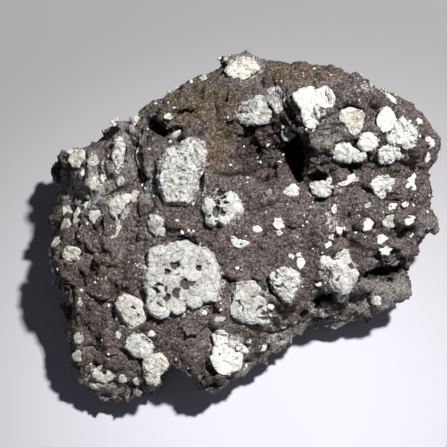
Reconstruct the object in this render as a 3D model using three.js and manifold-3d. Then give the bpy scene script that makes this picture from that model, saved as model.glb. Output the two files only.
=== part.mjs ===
// A hand specimen of leucitite: one broken lump of brown-grey lava, the groundmass,
// with white leucite crystals set in it.
//
// Everything is in millimetres. The stone lies on the plane z = 0 with +Z up, its length along X
// and its broad broken face turned up and towards -Y. That face is described in a frame of its
// own: u runs to the right along X, v runs up the slope of the face, w stands square out of it.
import * as THREE from "three";
import { ConvexGeometry } from "three/addons/geometries/ConvexGeometry.js";
import { ImprovedNoise } from "three/addons/math/ImprovedNoise.js";
import { mergeVertices } from "three/addons/utils/BufferGeometryUtils.js";
import Module from "manifold-3d";

const wasm = await Module();
wasm.setup();

// Driving dimensions
const FACE_TILT = THREE.MathUtils.degToRad(25); // the broad face leans this far from level
const FACE_HEIGHT = 27; // height of the face frame's origin above the surface the stone lies on
const FOOT_SHARE = 0.74; // the foot of the stone, as a share of its outline
const FOOT_SINK = 2.5; // how far the rough foot reaches past the flat that it rests on
const SOCKET_GAP = 0.3; // clearance between a crystal and its socket
const MESH_DETAIL = 10; // subdivisions of the sphere that the groundmass is shaped from
const FACE_SHARE = 0.7; // share of that sphere that becomes the broad face
const FRACTURE_COUNT = 230; // small broken faces all over the stone
const FRACTURE_LEVEL = 0.8; // how far a broken face stands in or out
const FRACTURE_LEAN = 0.2; // how far it leans, as a slope

// The rim of the stone seen square to the broad face, anticlockwise from the right-hand end: u, v, w.
const RIM = [
  [59.3, 2.3, -8], [56.6, 5.9, -7], [57.8, 10.1, -6], [55.1, 11.9, -6], [56.3, 18.5, -5],
  [59.0, 22.7, -6], [59.9, 26.9, -6], [57.8, 28.7, -5], [50.0, 33.8, -2], [48.2, 37.1, -2],
  [43.4, 40.7, -2], [37.4, 42.2, 0], [32.0, 47.0, 0], [26.9, 49.7, 0], [18.2, 50.3, -1],
  [16.1, 49.1, -1], [8.3, 49.4, -2], [5.3, 47.6, 0], [2.9, 51.8, 0], [0.8, 53.0, -1],
  [-2.3, 51.8, -1], [-6.5, 51.5, -2], [-11.0, 47.3, -3], [-17.0, 44.1, -4], [-21.5, 40.4, -5],
  [-28.1, 36.8, -6], [-34.7, 32.3, -7], [-39.2, 32.0, -8], [-39.8, 29.6, -9], [-49.1, 23.9, -14],
  [-52.7, 24.6, -17], [-56.3, 21.5, -20], [-58.7, 17.0, -22], [-57.2, 12.5, -19],
  [-58.4, 7.1, -17], [-58.7, 0.5, -15], [-59.6, -7.1, -13], [-57.5, -13.7, -9], [-55.1, -20.6, -5],
  [-53.3, -26.6, -2], [-51.2, -34.1, 1], [-51.5, -41.0, 2], [-47.9, -47.3, 3], [-42.2, -52.1, 4],
  [-35.9, -53.0, 6], [-29.9, -48.5, 8], [-25.4, -46.4, 10], [-23.6, -43.4, 11],
  [-19.7, -41.7, 12], [-15.2, -43.1, 12], [-13.4, -46.4, 12], [-9.5, -47.3, 12],
  [-1.1, -43.1, 8], [5.6, -39.5, 3], [12.2, -36.2, 2], [17.0, -31.4, 1], [20.6, -28.7, -4],
  [32.3, -28.7, -3], [41.6, -26.0, -4], [46.7, -22.4, -5], [50.6, -19.1, -7],
  [50.0, -13.7, -7], [50.3, -9.2, -7], [53.9, -6.5, -8], [54.8, -3.8, -8], [59.6, -1.1, -9],
];

// Spot heights of the broad face, inside the rim: u, v, w.
const SPOTS = {
  plateau: [
    [-28, -4, 14], [-7, 11, 15.5], [4, 12.4, 15.5], [14, 11, 15], [24.5, 3.5, 15], [28.5, -6, 14.5],
    [31.5, -13, 13], [27.5, -18.6, 11.5], [18, -24, 10], [12.5, -32, 6], [3, -37.5, 8.5],
    [-5, -42, 11.5], [-11.5, -44.5, 13], [-19, -38, 14], [-18, -15.5, 17], [2, -22, 16],
    [-28, -37, 12.5], [-19, -26, 15.5],
  ],
  lowerLeft: [
    [-37, -47.5, 9], [-47, -43, 8.5], [-48.5, -36, 10], [-50.5, -26, 10], [-52.5, -10.6, 9],
    [-41.5, -4, 13], [-37, -14.5, 14], [-38, -30, 13],
  ],
  leftFlank: [
    [-51, 20, 0], [-55.5, 8, -4], [-54.5, 0.5, 2], [-46, 9, 5], [-43, 21.5, 4], [-37.6, 25, 6],
    [-37, 10, 10], [-47.5, -2.5, 10], [-28, 23, 10.5], [-28, 11, 12],
  ],
  upperLeft: [
    [-25, 33.4, 5], [-13, 38, 7.5], [-13, 29, 12], [-16, 23, 14], [-2.5, 41, 8], [-0.5, 46.5, 6.5],
    [-19, 16.4, 16], [-9.5, 20, 14],
  ],
  hollow: [
    [2, 27, 5], [8, 20, 3.5], [-3, 23.5, 8], [-1, 17.4, 7.5], [8, 16, 4.5], [-6, 31, 10],
    [3.4, 34.5, 9], [9.5, 33, 9], [12, 12.6, 14], [12, 27, 4],
  ],
  rightLobe: [
    [13, 42, 10], [16.5, 37, 15.5], [18, 29, 16], [21.5, 20, 13.5], [25, 34, 18.5], [33, 29, 18.5],
    [32, 21.5, 16.5], [42.5, 29, 15.5], [43, 21, 13], [53, 26, 8], [53, 18, 6], [29, 44, 9],
    [17, 45.5, 7.5], [41, 37, 9],
  ],
  ledges: [
    [30.5, 12.5, 11], [41, 12.5, 9.5], [50, 13, 5.5], [36.5, 7, 11], [44, 1.6, 9.5], [54.5, 3.5, 0],
    [36.5, 0.5, 11.5], [41, -5.5, 8.5], [39.5, -11, 7], [48, -10.6, 2], [50, 7, 5.5], [52, -2, 2],
  ],
  lowerLobe: [[38, -17.5, 2.5], [46.5, -17, 0], [30, -22.6, 0.5], [38, -23, -0.5], [25, -26, -2]],
};

// Open gaps under the ledges and beside the lobes: the run of each in u, v, its width at the middle,
// the w of its floor, and how far it slants back under the rock, in u and v for each step down.
const GAPS = [
  { run: [[13, 28.5], [15, 20], [18.4, 11.8]], width: 7, floor: -5, slant: [0.4, 0] }, // by the right lobe
  { run: [[17, 13], [24, 15.4], [37, 17.6]], width: 2.6, floor: 7, slant: [0, 0.3] },
  { run: [[40, 6.8], [47, 6], [62, 6.6]], width: 1.6, floor: 0, slant: [0, 0.25] }, // between the ledges
  { run: [[28, -3], [34, -4.6], [41, -6]], width: 1.6, floor: 4, slant: [0, 0.25] },
  { run: [[44, -0.4], [50, -1.4], [58, -2.4]], width: 1.6, floor: -3, slant: [0, 0.25] },
  { run: [[32, -12], [41, -13.4], [55, -14.4]], width: 2.8, floor: -6, slant: [0, 0.4] },
  { run: [[15, -27.4], [24, -22], [32, -18]], width: 3.2, floor: -1, slant: [0, 0.4] },
  { run: [[-35.6, 33], [-32.8, 26], [-30, 10]], width: 2.8, floor: 1, slant: [0, 0] }, // down the left
  { run: [[-28, 32], [-22.4, 26.6]], width: 3.6, floor: 3, slant: [0, 0.2] },
];

// The arch worn into the foot of the face: centre u, v and radius.
const ARCH = { at: [-19.6, -47], radius: 5.6 };

// Lumps and slabs that stand out of the broad face: centre u, v, w, half sizes, turn in degrees.
const LUMPS = [
  { at: [31, 36, 13], half: [12, 7, 7], turn: -12 }, // over the right lobe
  { at: [46, 27, 8], half: [12, 7.5, 8.5], turn: -28 },
  { at: [27, 24, 11], half: [7.5, 6, 7], turn: 20 },
  { at: [40, 12, 5], half: [13, 4, 7], turn: -4 }, // the ledges below it
  { at: [44, 2, 3], half: [13, 4, 8], turn: 4 },
  { at: [40, -6, 4], half: [11.5, 3.4, 6], turn: -6 },
  { at: [40, -20, -4], half: [11.5, 6, 7], turn: 14 },
  { at: [-20, 33, 7], half: [10, 5, 6], turn: 38 }, // up the left shoulder
  { at: [-8, -38, 6], half: [9, 8, 7.5], turn: 20 }, // at the foot of the face, either side of the arch
  { at: [-40, -44, 4], half: [10, 7, 6.5], turn: -24 },
  { at: [-25, -40, 8], half: [7, 6.5, 6], turn: 12 },
];

// The crystals on the broad face, the largest first: centre u, v, half width, half height and
// turn in degrees; `lobes` are the grains grown into one crystal, each from its centre.
const FACE_CRYSTALS = [
  {
    at: [-18.2, -13.7],
    half: [11.6, 9.6],
    turn: 8,
    lobes: [
      [-6.6, -7.6, 4.6, 5.6], [-1.2, -9.6, 2.8, 2.6], [3.6, -7.6, 3.4, 3.2], [8, -5.4, 3.6, 3.4],
      [-7, 4.6, 4.4, 4.2],
    ],
  },
  { at: [-18.6, 13.6], half: [6.4, 8], turn: 20, lobes: [[3.2, 7.6, 4.4, 4.8]] },
  { at: [-6.5, 5.6], half: [5.7, 5], turn: 12, lobes: [] },
  { at: [2.1, -20], half: [4.4, 4.4], turn: 30, lobes: [[0.8, -4.4, 4.6, 3.8], [-2, -2.6, 3.2, 4]] },
  { at: [12.2, -17], half: [4.4, 5], turn: 14, lobes: [] },
  { at: [-33.5, -24.8], half: [4.7, 5], turn: 22, lobes: [] },
  { at: [-4.7, -38.7], half: [4.6, 4.8], turn: 0, lobes: [[5.2, 3, 2.2, 2], [-2.2, 5.6, 2.7, 2.4]] },
  { at: [29, -12.5], half: [3.6, 6], turn: 12, lobes: [[-4.4, 2.6, 2.2, 2.4]] },
  { at: [18.5, 36.6], half: [3.9, 3.3], turn: 24, lobes: [[4.8, 1.2, 2.5, 3.2], [1.2, -4.4, 2.7, 3.2]] },
  { at: [47.2, 28], half: [4.9, 4.2], turn: -20, lobes: [] },
  { at: [41.8, 32], half: [3, 3.3], turn: 16, lobes: [] },
  { at: [31.7, 32.6], half: [3.5, 2.7], turn: 30, lobes: [[0.9, -3.4, 1.9, 1.8]] },
  { at: [4.2, 34], half: [3, 4.2], turn: -18, lobes: [[-3.6, -2.2, 2.3, 2.1]] },
  { at: [9, 38.4], half: [2.8, 4], turn: -12, lobes: [] },
  { at: [0, 47.5], half: [5.1, 3.2], turn: 26, lobes: [] },
  { at: [-26.3, -42.2], half: [3.5, 4.3], turn: 18, lobes: [] },
  { at: [-31.2, -34.6], half: [3.5, 3.5], turn: 40, lobes: [] },
  { at: [-41.7, -43.8], half: [3.6, 2.9], turn: 10, lobes: [] },
  { at: [29.3, 22.1], half: [2.9, 2.9], turn: 8, lobes: [[3.8, -0.6, 2, 1.9]] },
  { at: [36.4, 25.9], half: [2.6, 2.8], turn: 36, lobes: [] },
  { at: [41.6, 21.2], half: [3.1, 2.5], turn: 4, lobes: [[3.2, 1.2, 2.4, 2.3]] },
  { at: [40.8, 12.5], half: [3.3, 3], turn: 18, lobes: [] },
  { at: [22.8, 11], half: [3.3, 2.4], turn: -16, lobes: [[3.2, 2, 2, 1.8]] },
  { at: [-50.1, 20.6], half: [3.2, 3], turn: 12, lobes: [] },
  { at: [-37, 6], half: [2.8, 4.6], turn: -28, lobes: [] },
  { at: [-37.3, 21.6], half: [2, 5.2], turn: -4, lobes: [] },
  { at: [-25.6, 0.2], half: [2.8, 3.6], turn: 30, lobes: [] },
  { at: [-51.3, -8], half: [3, 2.3], turn: 4, lobes: [] },
  { at: [43.4, 1.4], half: [2.4, 2.1], turn: 30, lobes: [] },
];

// The crystals round the sides and the back: bearing in degrees from +X, height above the ground,
// half width, half height and turn in degrees.
const FLANK_CRYSTALS = [
  { at: [84, 34], half: [6.2, 5.4], turn: 14 },
  { at: [112, 25], half: [4.6, 4.2], turn: 32 },
  { at: [62, 26], half: [4.2, 4.4], turn: 8 },
  { at: [140, 21], half: [5.2, 4.4], turn: 20 },
  { at: [187, 14], half: [3.6, 3.2], turn: 22 },
  { at: [322, 8], half: [3.4, 2.4], turn: 2 },
];
const CRYSTAL_DEPTH = 0.8; // half depth of a crystal, as a share of its mean half width
const CRYSTAL_CAP = 0.35; // the crystal is broken off flat at this share of its half depth
const CRYSTAL_RISE = 0.2; // how far that flat stands above the rock, as a share of the same
const FINE_SIZE = 4.8; // grains with a mean half width from here up have every corner

const GROUNDMASS_LOOK = { color: 0x5a4c49, roughness: 0.95, metalness: 0 };
const LEUCITE_LOOK = { color: 0xe6e4d8, roughness: 0.85, metalness: 0 };

// Moves a point of the face frame into the stone's frame.
const faceFrame = new THREE.Matrix4()
  .makeTranslation(0, 0, FACE_HEIGHT)
  .multiply(new THREE.Matrix4().makeRotationX(FACE_TILT));
const onFace = (u, v, w) => new THREE.Vector3(u, v, w).applyMatrix4(faceFrame);

const noise = new ImprovedNoise();

THREE.MathUtils.seededRandom(20);
const randomly = () => 2 * THREE.MathUtils.seededRandom() - 1; // -1 to 1, the same on every run

// Two layers of Perlin noise at a point, about -1 to 1: `pitch` is the size of the larger lumps.
function roughness(p, pitch) {
  const at = (k, shift) => noise.noise(p.x * k + shift, p.y * k + shift, p.z * k + shift);
  return at(1 / pitch, 11.3) + 0.6 * at(2.1 / pitch, 47.9);
}

// Closed geometry to manifold solid, its equal vertices merged.
function solidOf(geometry, matrix = new THREE.Matrix4()) {
  const bare = geometry.clone().applyMatrix4(matrix);
  bare.deleteAttribute("normal");
  bare.deleteAttribute("uv");
  const merged = mergeVertices(bare, 1e-4);
  return new wasm.Manifold(
    new wasm.Mesh({
      numProp: 3,
      vertProperties: new Float32Array(merged.attributes.position.array),
      triVerts: new Uint32Array(merged.index.array),
    }),
  );
}

function geometryOf(solid) {
  const { vertProperties, triVerts } = solid.getMesh();
  const geometry = new THREE.BufferGeometry();
  geometry.setAttribute("position", new THREE.BufferAttribute(vertProperties, 3));
  geometry.setIndex(new THREE.BufferAttribute(triVerts, 1));
  geometry.computeVertexNormals();
  return geometry;
}

// Where the line from the middle of the face at `angle` leaves the rim: u, v, w.
function rimAt(angle) {
  const dir = new THREE.Vector2(Math.cos(angle), Math.sin(angle));
  for (let i = 0; i < RIM.length; i++) {
    const [au, av, aw] = RIM[i];
    const [bu, bv, bw] = RIM[(i + 1) % RIM.length];
    const sideA = dir.x * av - dir.y * au;
    const sideB = dir.x * bv - dir.y * bu;
    if (sideA > 0 || sideB <= 0) continue;
    const share = sideA / (sideA - sideB);
    return [au + share * (bu - au), av + share * (bv - av), aw + share * (bw - aw)];
  }
  throw new Error("the rim is not closed round the middle of the face");
}

// The Delaunay triangles of u, v, w points: every three whose circle holds no other point.
function triangulate(points) {
  const triangles = [];
  points.forEach(([ax, ay], a) => {
    for (let b = a + 1; b < points.length; b++) {
      for (let c = b + 1; c < points.length; c++) {
        const bx = points[b][0] - ax;
        const by = points[b][1] - ay;
        const cx = points[c][0] - ax;
        const cy = points[c][1] - ay;
        const d = 2 * (bx * cy - by * cx);
        if (Math.abs(d) < 1e-9) continue;
        const ox = (cy * (bx * bx + by * by) - by * (cx * cx + cy * cy)) / d;
        const oy = (bx * (cx * cx + cy * cy) - cx * (bx * bx + by * by)) / d;
        const r2 = ox * ox + oy * oy - 1e-9;
        if (points.some(([px, py]) => (px - ax - ox) ** 2 + (py - ay - oy) ** 2 < r2)) continue;
        triangles.push([points[a], points[b], points[c]]);
      }
    }
  });
  return triangles;
}

const faceTriangles = triangulate([...RIM, ...Object.values(SPOTS).flat()]);

// The height w of the broad face over u, v, flat between its spot heights.
function faceHeight(u, v) {
  for (const [a, b, c] of faceTriangles) {
    const d = (b[1] - c[1]) * (a[0] - c[0]) + (c[0] - b[0]) * (a[1] - c[1]);
    const s = ((b[1] - c[1]) * (u - c[0]) + (c[0] - b[0]) * (v - c[1])) / d;
    const t = ((c[1] - a[1]) * (u - c[0]) + (a[0] - c[0]) * (v - c[1])) / d;
    if (s > -1e-6 && t > -1e-6 && s + t < 1 + 1e-6) return s * a[2] + t * b[2] + (1 - s - t) * c[2];
  }
  throw new Error(`no spot height reaches ${u}, ${v}`);
}

// The stone's surface for a unit direction, whose +Z looks out of the broad face.
// The upper part is the broad face; the rest is the flank down to the foot, then the foot.
function groundmassPoint(dir) {
  const [ru, rv, rw] = rimAt(Math.atan2(dir.y, dir.x));
  const fromTop = Math.max(0, (1 - dir.z) / 2);
  if (fromTop <= FACE_SHARE) {
    const share = Math.sqrt(fromTop / FACE_SHARE); // 0 at the middle, 1 at the rim, equal areas
    const u = ru * share;
    const v = rv * share;
    return onFace(u, v, faceHeight(u, v));
  }
  const FLANK = 0.6; // share of what is below the rim that the flank takes
  const rim = onFace(ru, rv, rw);
  const foot = new THREE.Vector3(rim.x * FOOT_SHARE, rim.y * FOOT_SHARE, -FOOT_SINK);
  const down = 1 - Math.sqrt(Math.max(0, 1 - fromTop) / (1 - FACE_SHARE));
  if (down > FLANK) return foot.multiply(new THREE.Vector3().setScalar((1 - down) / (1 - FLANK)).setZ(1));
  const drop = down / FLANK;
  const bulge = 1 + 0.07 * Math.sin(Math.PI * drop);
  return rim.lerp(foot, drop).multiply(new THREE.Vector3(bulge, bulge, 1));
}

// The small broken faces: seeds spread evenly over the surface, each with its own lean and level.
const fractures = Array.from({ length: FRACTURE_COUNT }, (_, i) => {
  const z = 1 - (2 * i + 1) / FRACTURE_COUNT;
  const turn = i * Math.PI * (3 - Math.sqrt(5)); // the golden angle
  const out = Math.sqrt(1 - z * z);
  return {
    at: groundmassPoint(new THREE.Vector3(out * Math.cos(turn), out * Math.sin(turn), z)),
    lean: new THREE.Vector3(randomly(), randomly(), randomly()).multiplyScalar(FRACTURE_LEAN),
    level: randomly() * FRACTURE_LEVEL,
  };
});

// How far the surface at a point is broken in or out: by the plane of the nearest broken face.
function fractureStep(p) {
  const near = fractures.reduce((a, b) => (p.distanceToSquared(b.at) < p.distanceToSquared(a.at) ? b : a));
  return near.level + near.lean.dot(p.clone().sub(near.at));
}

// The lump before anything is cut from it: a sphere carried to the surface above, then broken up.
function lumpGeometry() {
  const raw = new THREE.IcosahedronGeometry(1, MESH_DETAIL);
  raw.deleteAttribute("normal");
  raw.deleteAttribute("uv");
  const lump = mergeVertices(raw, 1e-5);
  const position = lump.attributes.position;
  const p = new THREE.Vector3();
  for (let i = 0; i < position.count; i++) {
    p.fromBufferAttribute(position, i).normalize();
    position.setXYZ(i, ...groundmassPoint(p).toArray());
  }
  lump.computeVertexNormals();
  const normal = new THREE.Vector3();
  for (let i = 0; i < position.count; i++) {
    p.fromBufferAttribute(position, i);
    normal.fromBufferAttribute(lump.attributes.normal, i);
    p.addScaledVector(normal, 0.6 * roughness(p, 9) + fractureStep(p));
    position.setXYZ(i, ...p.toArray());
  }
  for (const corner of RIM) { // the nearest point of the mesh is drawn out to each corner of the rim
    const target = onFace(...corner);
    const gaps = Array.from({ length: position.count }, (_, i) =>
      p.fromBufferAttribute(position, i).distanceToSquared(target),
    );
    position.setXYZ(gaps.indexOf(Math.min(...gaps)), ...target.toArray());
  }
  return lump;
}

// A gap as a solid to cut away: the strip along its run, pointed at both ends, sunk to its floor
// and slanted so that it goes back under the rock.
function gapSolid({ run, width, floor, slant }) {
  const TOP = 26; // above the whole face
  const line = new THREE.SplineCurve(run.map(([u, v]) => new THREE.Vector2(u, v)));
  const STEPS = 4;
  const sides = [[], []];
  for (let i = 0; i <= STEPS; i++) {
    const t = i / STEPS;
    const across = line.getTangent(t).rotateAround(new THREE.Vector2(), Math.PI / 2);
    const half = (width / 2) * (0.12 + 0.88 * Math.sin(Math.PI * (0.08 + 0.84 * t)));
    sides[0].push(line.getPoint(t).addScaledVector(across, half));
    sides[1].unshift(line.getPoint(t).addScaledVector(across, -half));
  }
  const strip = new THREE.Shape([...sides[0], ...sides[1]]);
  const block = new THREE.ExtrudeGeometry(strip, { depth: TOP - floor, bevelEnabled: false });
  block.translate(0, 0, floor);
  const runMiddle = line.getPoint(0.5);
  const mouth = faceHeight(runMiddle.x, runMiddle.y);
  const [slantU, slantV] = slant;
  const slanted = new THREE.Matrix4().makeShear(0, 0, 0, 0, -slantU, -slantV);
  slanted.premultiply(new THREE.Matrix4().makeTranslation(slantU * mouth, slantV * mouth, 0));
  return solidOf(block, slanted.premultiply(faceFrame));
}

// A lump or slab: the hull of points spread over an ellipsoid, each a little in or out.
function bossSolid({ at, half, turn }) {
  const COUNT = 14;
  const points = Array.from({ length: COUNT }, (_, i) => {
    const z = 1 - (2 * i + 1) / COUNT;
    const angle = i * Math.PI * (3 - Math.sqrt(5));
    const out = Math.sqrt(1 - z * z);
    return new THREE.Vector3(out * Math.cos(angle), out * Math.sin(angle), z)
      .multiplyScalar(1 + 0.12 * randomly())
      .multiply(new THREE.Vector3(...half));
  });
  const place = new THREE.Matrix4()
    .makeTranslation(...at)
    .multiply(new THREE.Matrix4().makeRotationZ(THREE.MathUtils.degToRad(turn)));
  return solidOf(new ConvexGeometry(points), place.premultiply(faceFrame));
}

// The corners of a leucite crystal of half width 1, a trapezohedron of 24 kite-shaped faces,
// broken off flat at CRYSTAL_CAP. Small crystals go without the corners where three faces meet.
function crystalCorners(allFaces) {
  const SHRINK = [1, 1, 2 / 3, 1 / 2]; // by the number of axes that a corner leans along
  const corners = [];
  for (const x of [-1, 0, 1]) {
    for (const y of [-1, 0, 1]) {
      for (const z of [-1, 0, 1]) {
        const level = Math.abs(x) + Math.abs(y);
        const axes = level + Math.abs(z);
        if (axes === 0 || (level === 0 && z > 0) || (axes === 3 && !allFaces)) continue;
        const corner = new THREE.Vector3(x, y, z).multiplyScalar(SHRINK[axes]);
        const waist = new THREE.Vector3(x, y, 0).multiplyScalar(SHRINK[level]);
        if (z > 0) corner.lerp(waist, 1 - CRYSTAL_CAP / corner.z);
        corners.push(corner);
      }
    }
  }
  return corners;
}

// One grain of a crystal, in the crystal's frame with +Z out of the rock, broken off flat on top.
// `grow` makes it larger all round and `lift` draws it out along +Z, as its socket needs.
function grainSolid(x, y, halfX, halfY, turn, place, grow = 0, lift = 0) {
  const mean = (halfX + halfY) / 2;
  const depth = mean * CRYSTAL_DEPTH;
  const spin = new THREE.Matrix4().makeRotationZ(THREE.MathUtils.degToRad(turn));
  const points = crystalCorners(mean >= FINE_SIZE).map((corner) => {
    corner.multiply(new THREE.Vector3(halfX + grow, halfY + grow, depth + grow)).applyMatrix4(spin);
    return corner.add(new THREE.Vector3(x, y, (CRYSTAL_RISE - CRYSTAL_CAP) * depth));
  });
  const drawn = lift ? points.map((p) => p.clone().setZ(p.z + lift)) : [];
  return solidOf(new ConvexGeometry([...points, ...drawn]), place);
}

// A crystal or its socket: the grains it is grown from, as one solid.
function crystalSolid({ half, turn, lobes = [] }, place, grow, lift) {
  const grains = [[0, 0, ...half], ...lobes].map(([x, y, halfX, halfY], i) =>
    grainSolid(x, y, halfX, halfY, turn + 17 * i, place, grow, lift),
  );
  return grains.reduce((a, b) => a.add(b));
}

// Where a crystal sits: a bundle of rays as wide as the crystal finds the rock's mean level and
// slope there. The matrix returned carries the crystal's frame to it, its X along `across`.
function seat(rock, from, towards, across, radius) {
  const up = new THREE.Vector3().crossVectors(across, towards);
  const hits = [];
  for (let i = 0; i < 7; i++) {
    const reach = i ? radius * 0.7 : 0;
    const start = from
      .clone()
      .addScaledVector(across, reach * Math.cos((i * Math.PI) / 3))
      .addScaledVector(up, reach * Math.sin((i * Math.PI) / 3));
    hits.push(...new THREE.Raycaster(start, towards).intersectObject(rock).slice(0, 1));
  }
  const level = hits.map((hit) => hit.distance).sort((a, b) => a - b)[Math.floor(hits.length / 2)];
  const slope = hits.reduce((sum, hit) => sum.add(hit.face.normal), new THREE.Vector3()).normalize();
  const out = slope.addScaledVector(towards, -1).normalize();
  const side = new THREE.Vector3().crossVectors(across, out).negate().normalize();
  return new THREE.Matrix4()
    .makeBasis(new THREE.Vector3().crossVectors(side, out), side, out)
    .setPosition(from.clone().addScaledVector(towards, level));
}

// The arch as a solid to cut away: a round bar that stands square to the broad face.
function archSolid({ at, radius }) {
  const LENGTH = 90;
  const bar = new THREE.CylinderGeometry(radius, radius, LENGTH, 10).rotateX(Math.PI / 2);
  return solidOf(bar, new THREE.Matrix4().makeTranslation(...at, 0).premultiply(faceFrame));
}

// Everything below the plane that the stone rests on.
function groundSolid() {
  const DEEP = 30;
  return solidOf(new THREE.BoxGeometry(200, 200, DEEP), new THREE.Matrix4().makeTranslation(0, 0, -DEEP / 2));
}

// The largest body of a solid: chips that a cut sets loose fall away.
function largest(solid) {
  return solid.decompose().sort((a, b) => b.volume() - a.volume())[0];
}

const stone = new THREE.Group();
stone.name = "leucitite";

let groundmass = solidOf(lumpGeometry());
for (const lump of LUMPS) groundmass = groundmass.add(bossSolid(lump));
groundmass = groundmass.subtract(groundSolid());
for (const gap of GAPS) groundmass = groundmass.subtract(gapSolid(gap));
groundmass = largest(groundmass.subtract(archSolid(ARCH)));

// Every crystal with the matrix that seats it on the bare rock.
const FAR = 200;
const bareRock = new THREE.Mesh(geometryOf(groundmass));
const faceOut = new THREE.Vector3(0, 0, 1).transformDirection(faceFrame);
const seated = [
  ...FACE_CRYSTALS.map((crystal) => {
    const from = onFace(...crystal.at, FAR);
    const across = new THREE.Vector3(1, 0, 0);
    const place = seat(bareRock, from, faceOut.clone().negate(), across, Math.min(...crystal.half));
    return { crystal, place };
  }),
  ...FLANK_CRYSTALS.map((crystal) => {
    const [bearing, height] = crystal.at;
    const outward = new THREE.Vector3(1, 0, 0).applyAxisAngle(
      new THREE.Vector3(0, 0, 1),
      THREE.MathUtils.degToRad(bearing),
    );
    const from = outward.clone().multiplyScalar(FAR).setZ(height);
    const across = new THREE.Vector3(-outward.y, outward.x, 0);
    const place = seat(bareRock, from, outward.negate(), across, Math.min(...crystal.half));
    return { crystal, place };
  }),
];

// Where two crystals meet, the one that comes later in the lists gives way.
let taken = null;
seated.forEach(({ crystal, place }, index) => {
  let solid = crystalSolid(crystal, place);
  const grown = crystalSolid(crystal, place, SOCKET_GAP);
  if (taken) solid = largest(solid.subtract(taken));
  taken = taken ? taken.add(grown) : grown;
  groundmass = groundmass.subtract(crystalSolid(crystal, place, SOCKET_GAP, 4));
  const mesh = new THREE.Mesh(geometryOf(solid), new THREE.MeshStandardMaterial(LEUCITE_LOOK));
  mesh.name = `leucite_${String(index + 1).padStart(2, "0")}`;
  stone.add(mesh);
});
groundmass = largest(groundmass);

const groundmassMesh = new THREE.Mesh(
  geometryOf(groundmass),
  new THREE.MeshStandardMaterial(GROUNDMASS_LOOK),
);
groundmassMesh.name = "groundmass";
stone.add(groundmassMesh);

// The origin is brought under the middle of the stone's bounding box.
const bounds = new THREE.Box3().setFromObject(stone);
const middle = bounds.getCenter(new THREE.Vector3());
for (const mesh of stone.children) mesh.geometry.translate(-middle.x, -middle.y, -bounds.min.z);

export default stone;
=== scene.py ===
"""Leucitite: a broken lump of dark lava, the groundmass, studded with white leucite crystals.

Lengths inside this file are in millimetres, and a mesh is put into metres when it is made. Places on
the broad broken face are given in the face's own frame: u to the right, v up its slope, w square out.
"""

import logging
import math
from collections.abc import Sequence
from dataclasses import dataclass
from enum import Enum

import bmesh
import bpy
import numpy as np
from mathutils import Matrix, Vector
from mathutils.bvhtree import BVHTree


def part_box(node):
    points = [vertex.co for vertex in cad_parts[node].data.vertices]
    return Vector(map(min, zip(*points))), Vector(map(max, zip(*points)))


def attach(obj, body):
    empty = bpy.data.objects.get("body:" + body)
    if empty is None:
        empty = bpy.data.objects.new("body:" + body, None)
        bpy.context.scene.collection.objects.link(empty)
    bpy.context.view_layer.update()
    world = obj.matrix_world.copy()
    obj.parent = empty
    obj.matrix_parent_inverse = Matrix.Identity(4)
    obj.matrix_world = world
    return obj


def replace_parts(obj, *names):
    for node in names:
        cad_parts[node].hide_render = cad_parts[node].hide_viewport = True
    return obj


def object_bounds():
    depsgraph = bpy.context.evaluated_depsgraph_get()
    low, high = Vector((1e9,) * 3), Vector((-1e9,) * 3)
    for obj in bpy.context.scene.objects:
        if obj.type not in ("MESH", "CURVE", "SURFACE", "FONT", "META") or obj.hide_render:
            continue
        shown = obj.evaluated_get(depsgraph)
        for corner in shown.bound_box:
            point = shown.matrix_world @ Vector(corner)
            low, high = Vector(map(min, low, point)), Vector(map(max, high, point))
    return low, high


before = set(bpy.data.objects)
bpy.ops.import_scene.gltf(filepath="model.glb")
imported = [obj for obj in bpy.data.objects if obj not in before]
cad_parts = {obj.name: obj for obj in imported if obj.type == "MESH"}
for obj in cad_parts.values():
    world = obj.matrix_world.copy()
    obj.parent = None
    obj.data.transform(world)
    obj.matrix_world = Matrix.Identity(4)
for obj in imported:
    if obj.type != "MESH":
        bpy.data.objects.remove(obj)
CAD_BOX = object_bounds()

log = logging.getLogger("leucitite")

MM = 0.001
Array = np.ndarray
Pair = tuple[float, float]
Triple = tuple[float, float, float]
Colour = Triple
Socket = bpy.types.NodeSocket
Material = bpy.types.Material
Piece = bpy.types.Object


# The face's frame.


@dataclass(frozen=True)
class FaceFrame:
    """The frame of the broad broken face, which leans back from level by `lean` degrees."""

    lean: float = 25.0
    height: float = 27.0
    middle: Pair = (0.175, -1.057)

    def axes(self) -> Array:
        """Rows are the u, v and w directions in the stone's frame."""
        c, s = math.cos(math.radians(self.lean)), math.sin(math.radians(self.lean))
        return np.array([[1, 0, 0], [0, c, s], [0, -s, c]])

    def origin(self) -> Array:
        """The frame's origin in the stone's frame."""
        return np.array([-self.middle[0], -self.middle[1], self.height])

    def inward(self, points: Array) -> Array:
        """Turns points of the stone's frame into u, v, w."""
        return (points - self.origin()) @ self.axes().T

    def outward(self, points: Array) -> Array:
        """Turns u, v, w into points of the stone's frame."""
        return points @ self.axes() + self.origin()


FACE = FaceFrame()


# Noise in whole arrays.


def lattice_values(cells: Array, seed: int) -> Array:
    """Give every whole-number lattice point its own steady number from 0 to 1.

    The three coordinates are multiplied by large odd numbers and mixed by shifts and exclusive-ors.

    Args:
        cells: lattice points, shape (n, 3).
        seed: picks another set of numbers.

    Returns:
        One number per point, shape (n,).
    """
    low_bits, primes, stirrer = 0xFFFFFFFF, (73856093, 19349663, 83492791), 0x45D9F3B
    whole = cells.astype(np.int64)
    mixed = seed * 374761393
    for axis, prime in enumerate(primes):
        mixed = mixed ^ (whole[:, axis] * prime)
    for _ in range(2):
        mixed &= low_bits
        mixed = (mixed ^ (mixed >> 16)) * stirrer
    mixed &= low_bits
    return (mixed ^ (mixed >> 16)) / (low_bits + 1)


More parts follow.
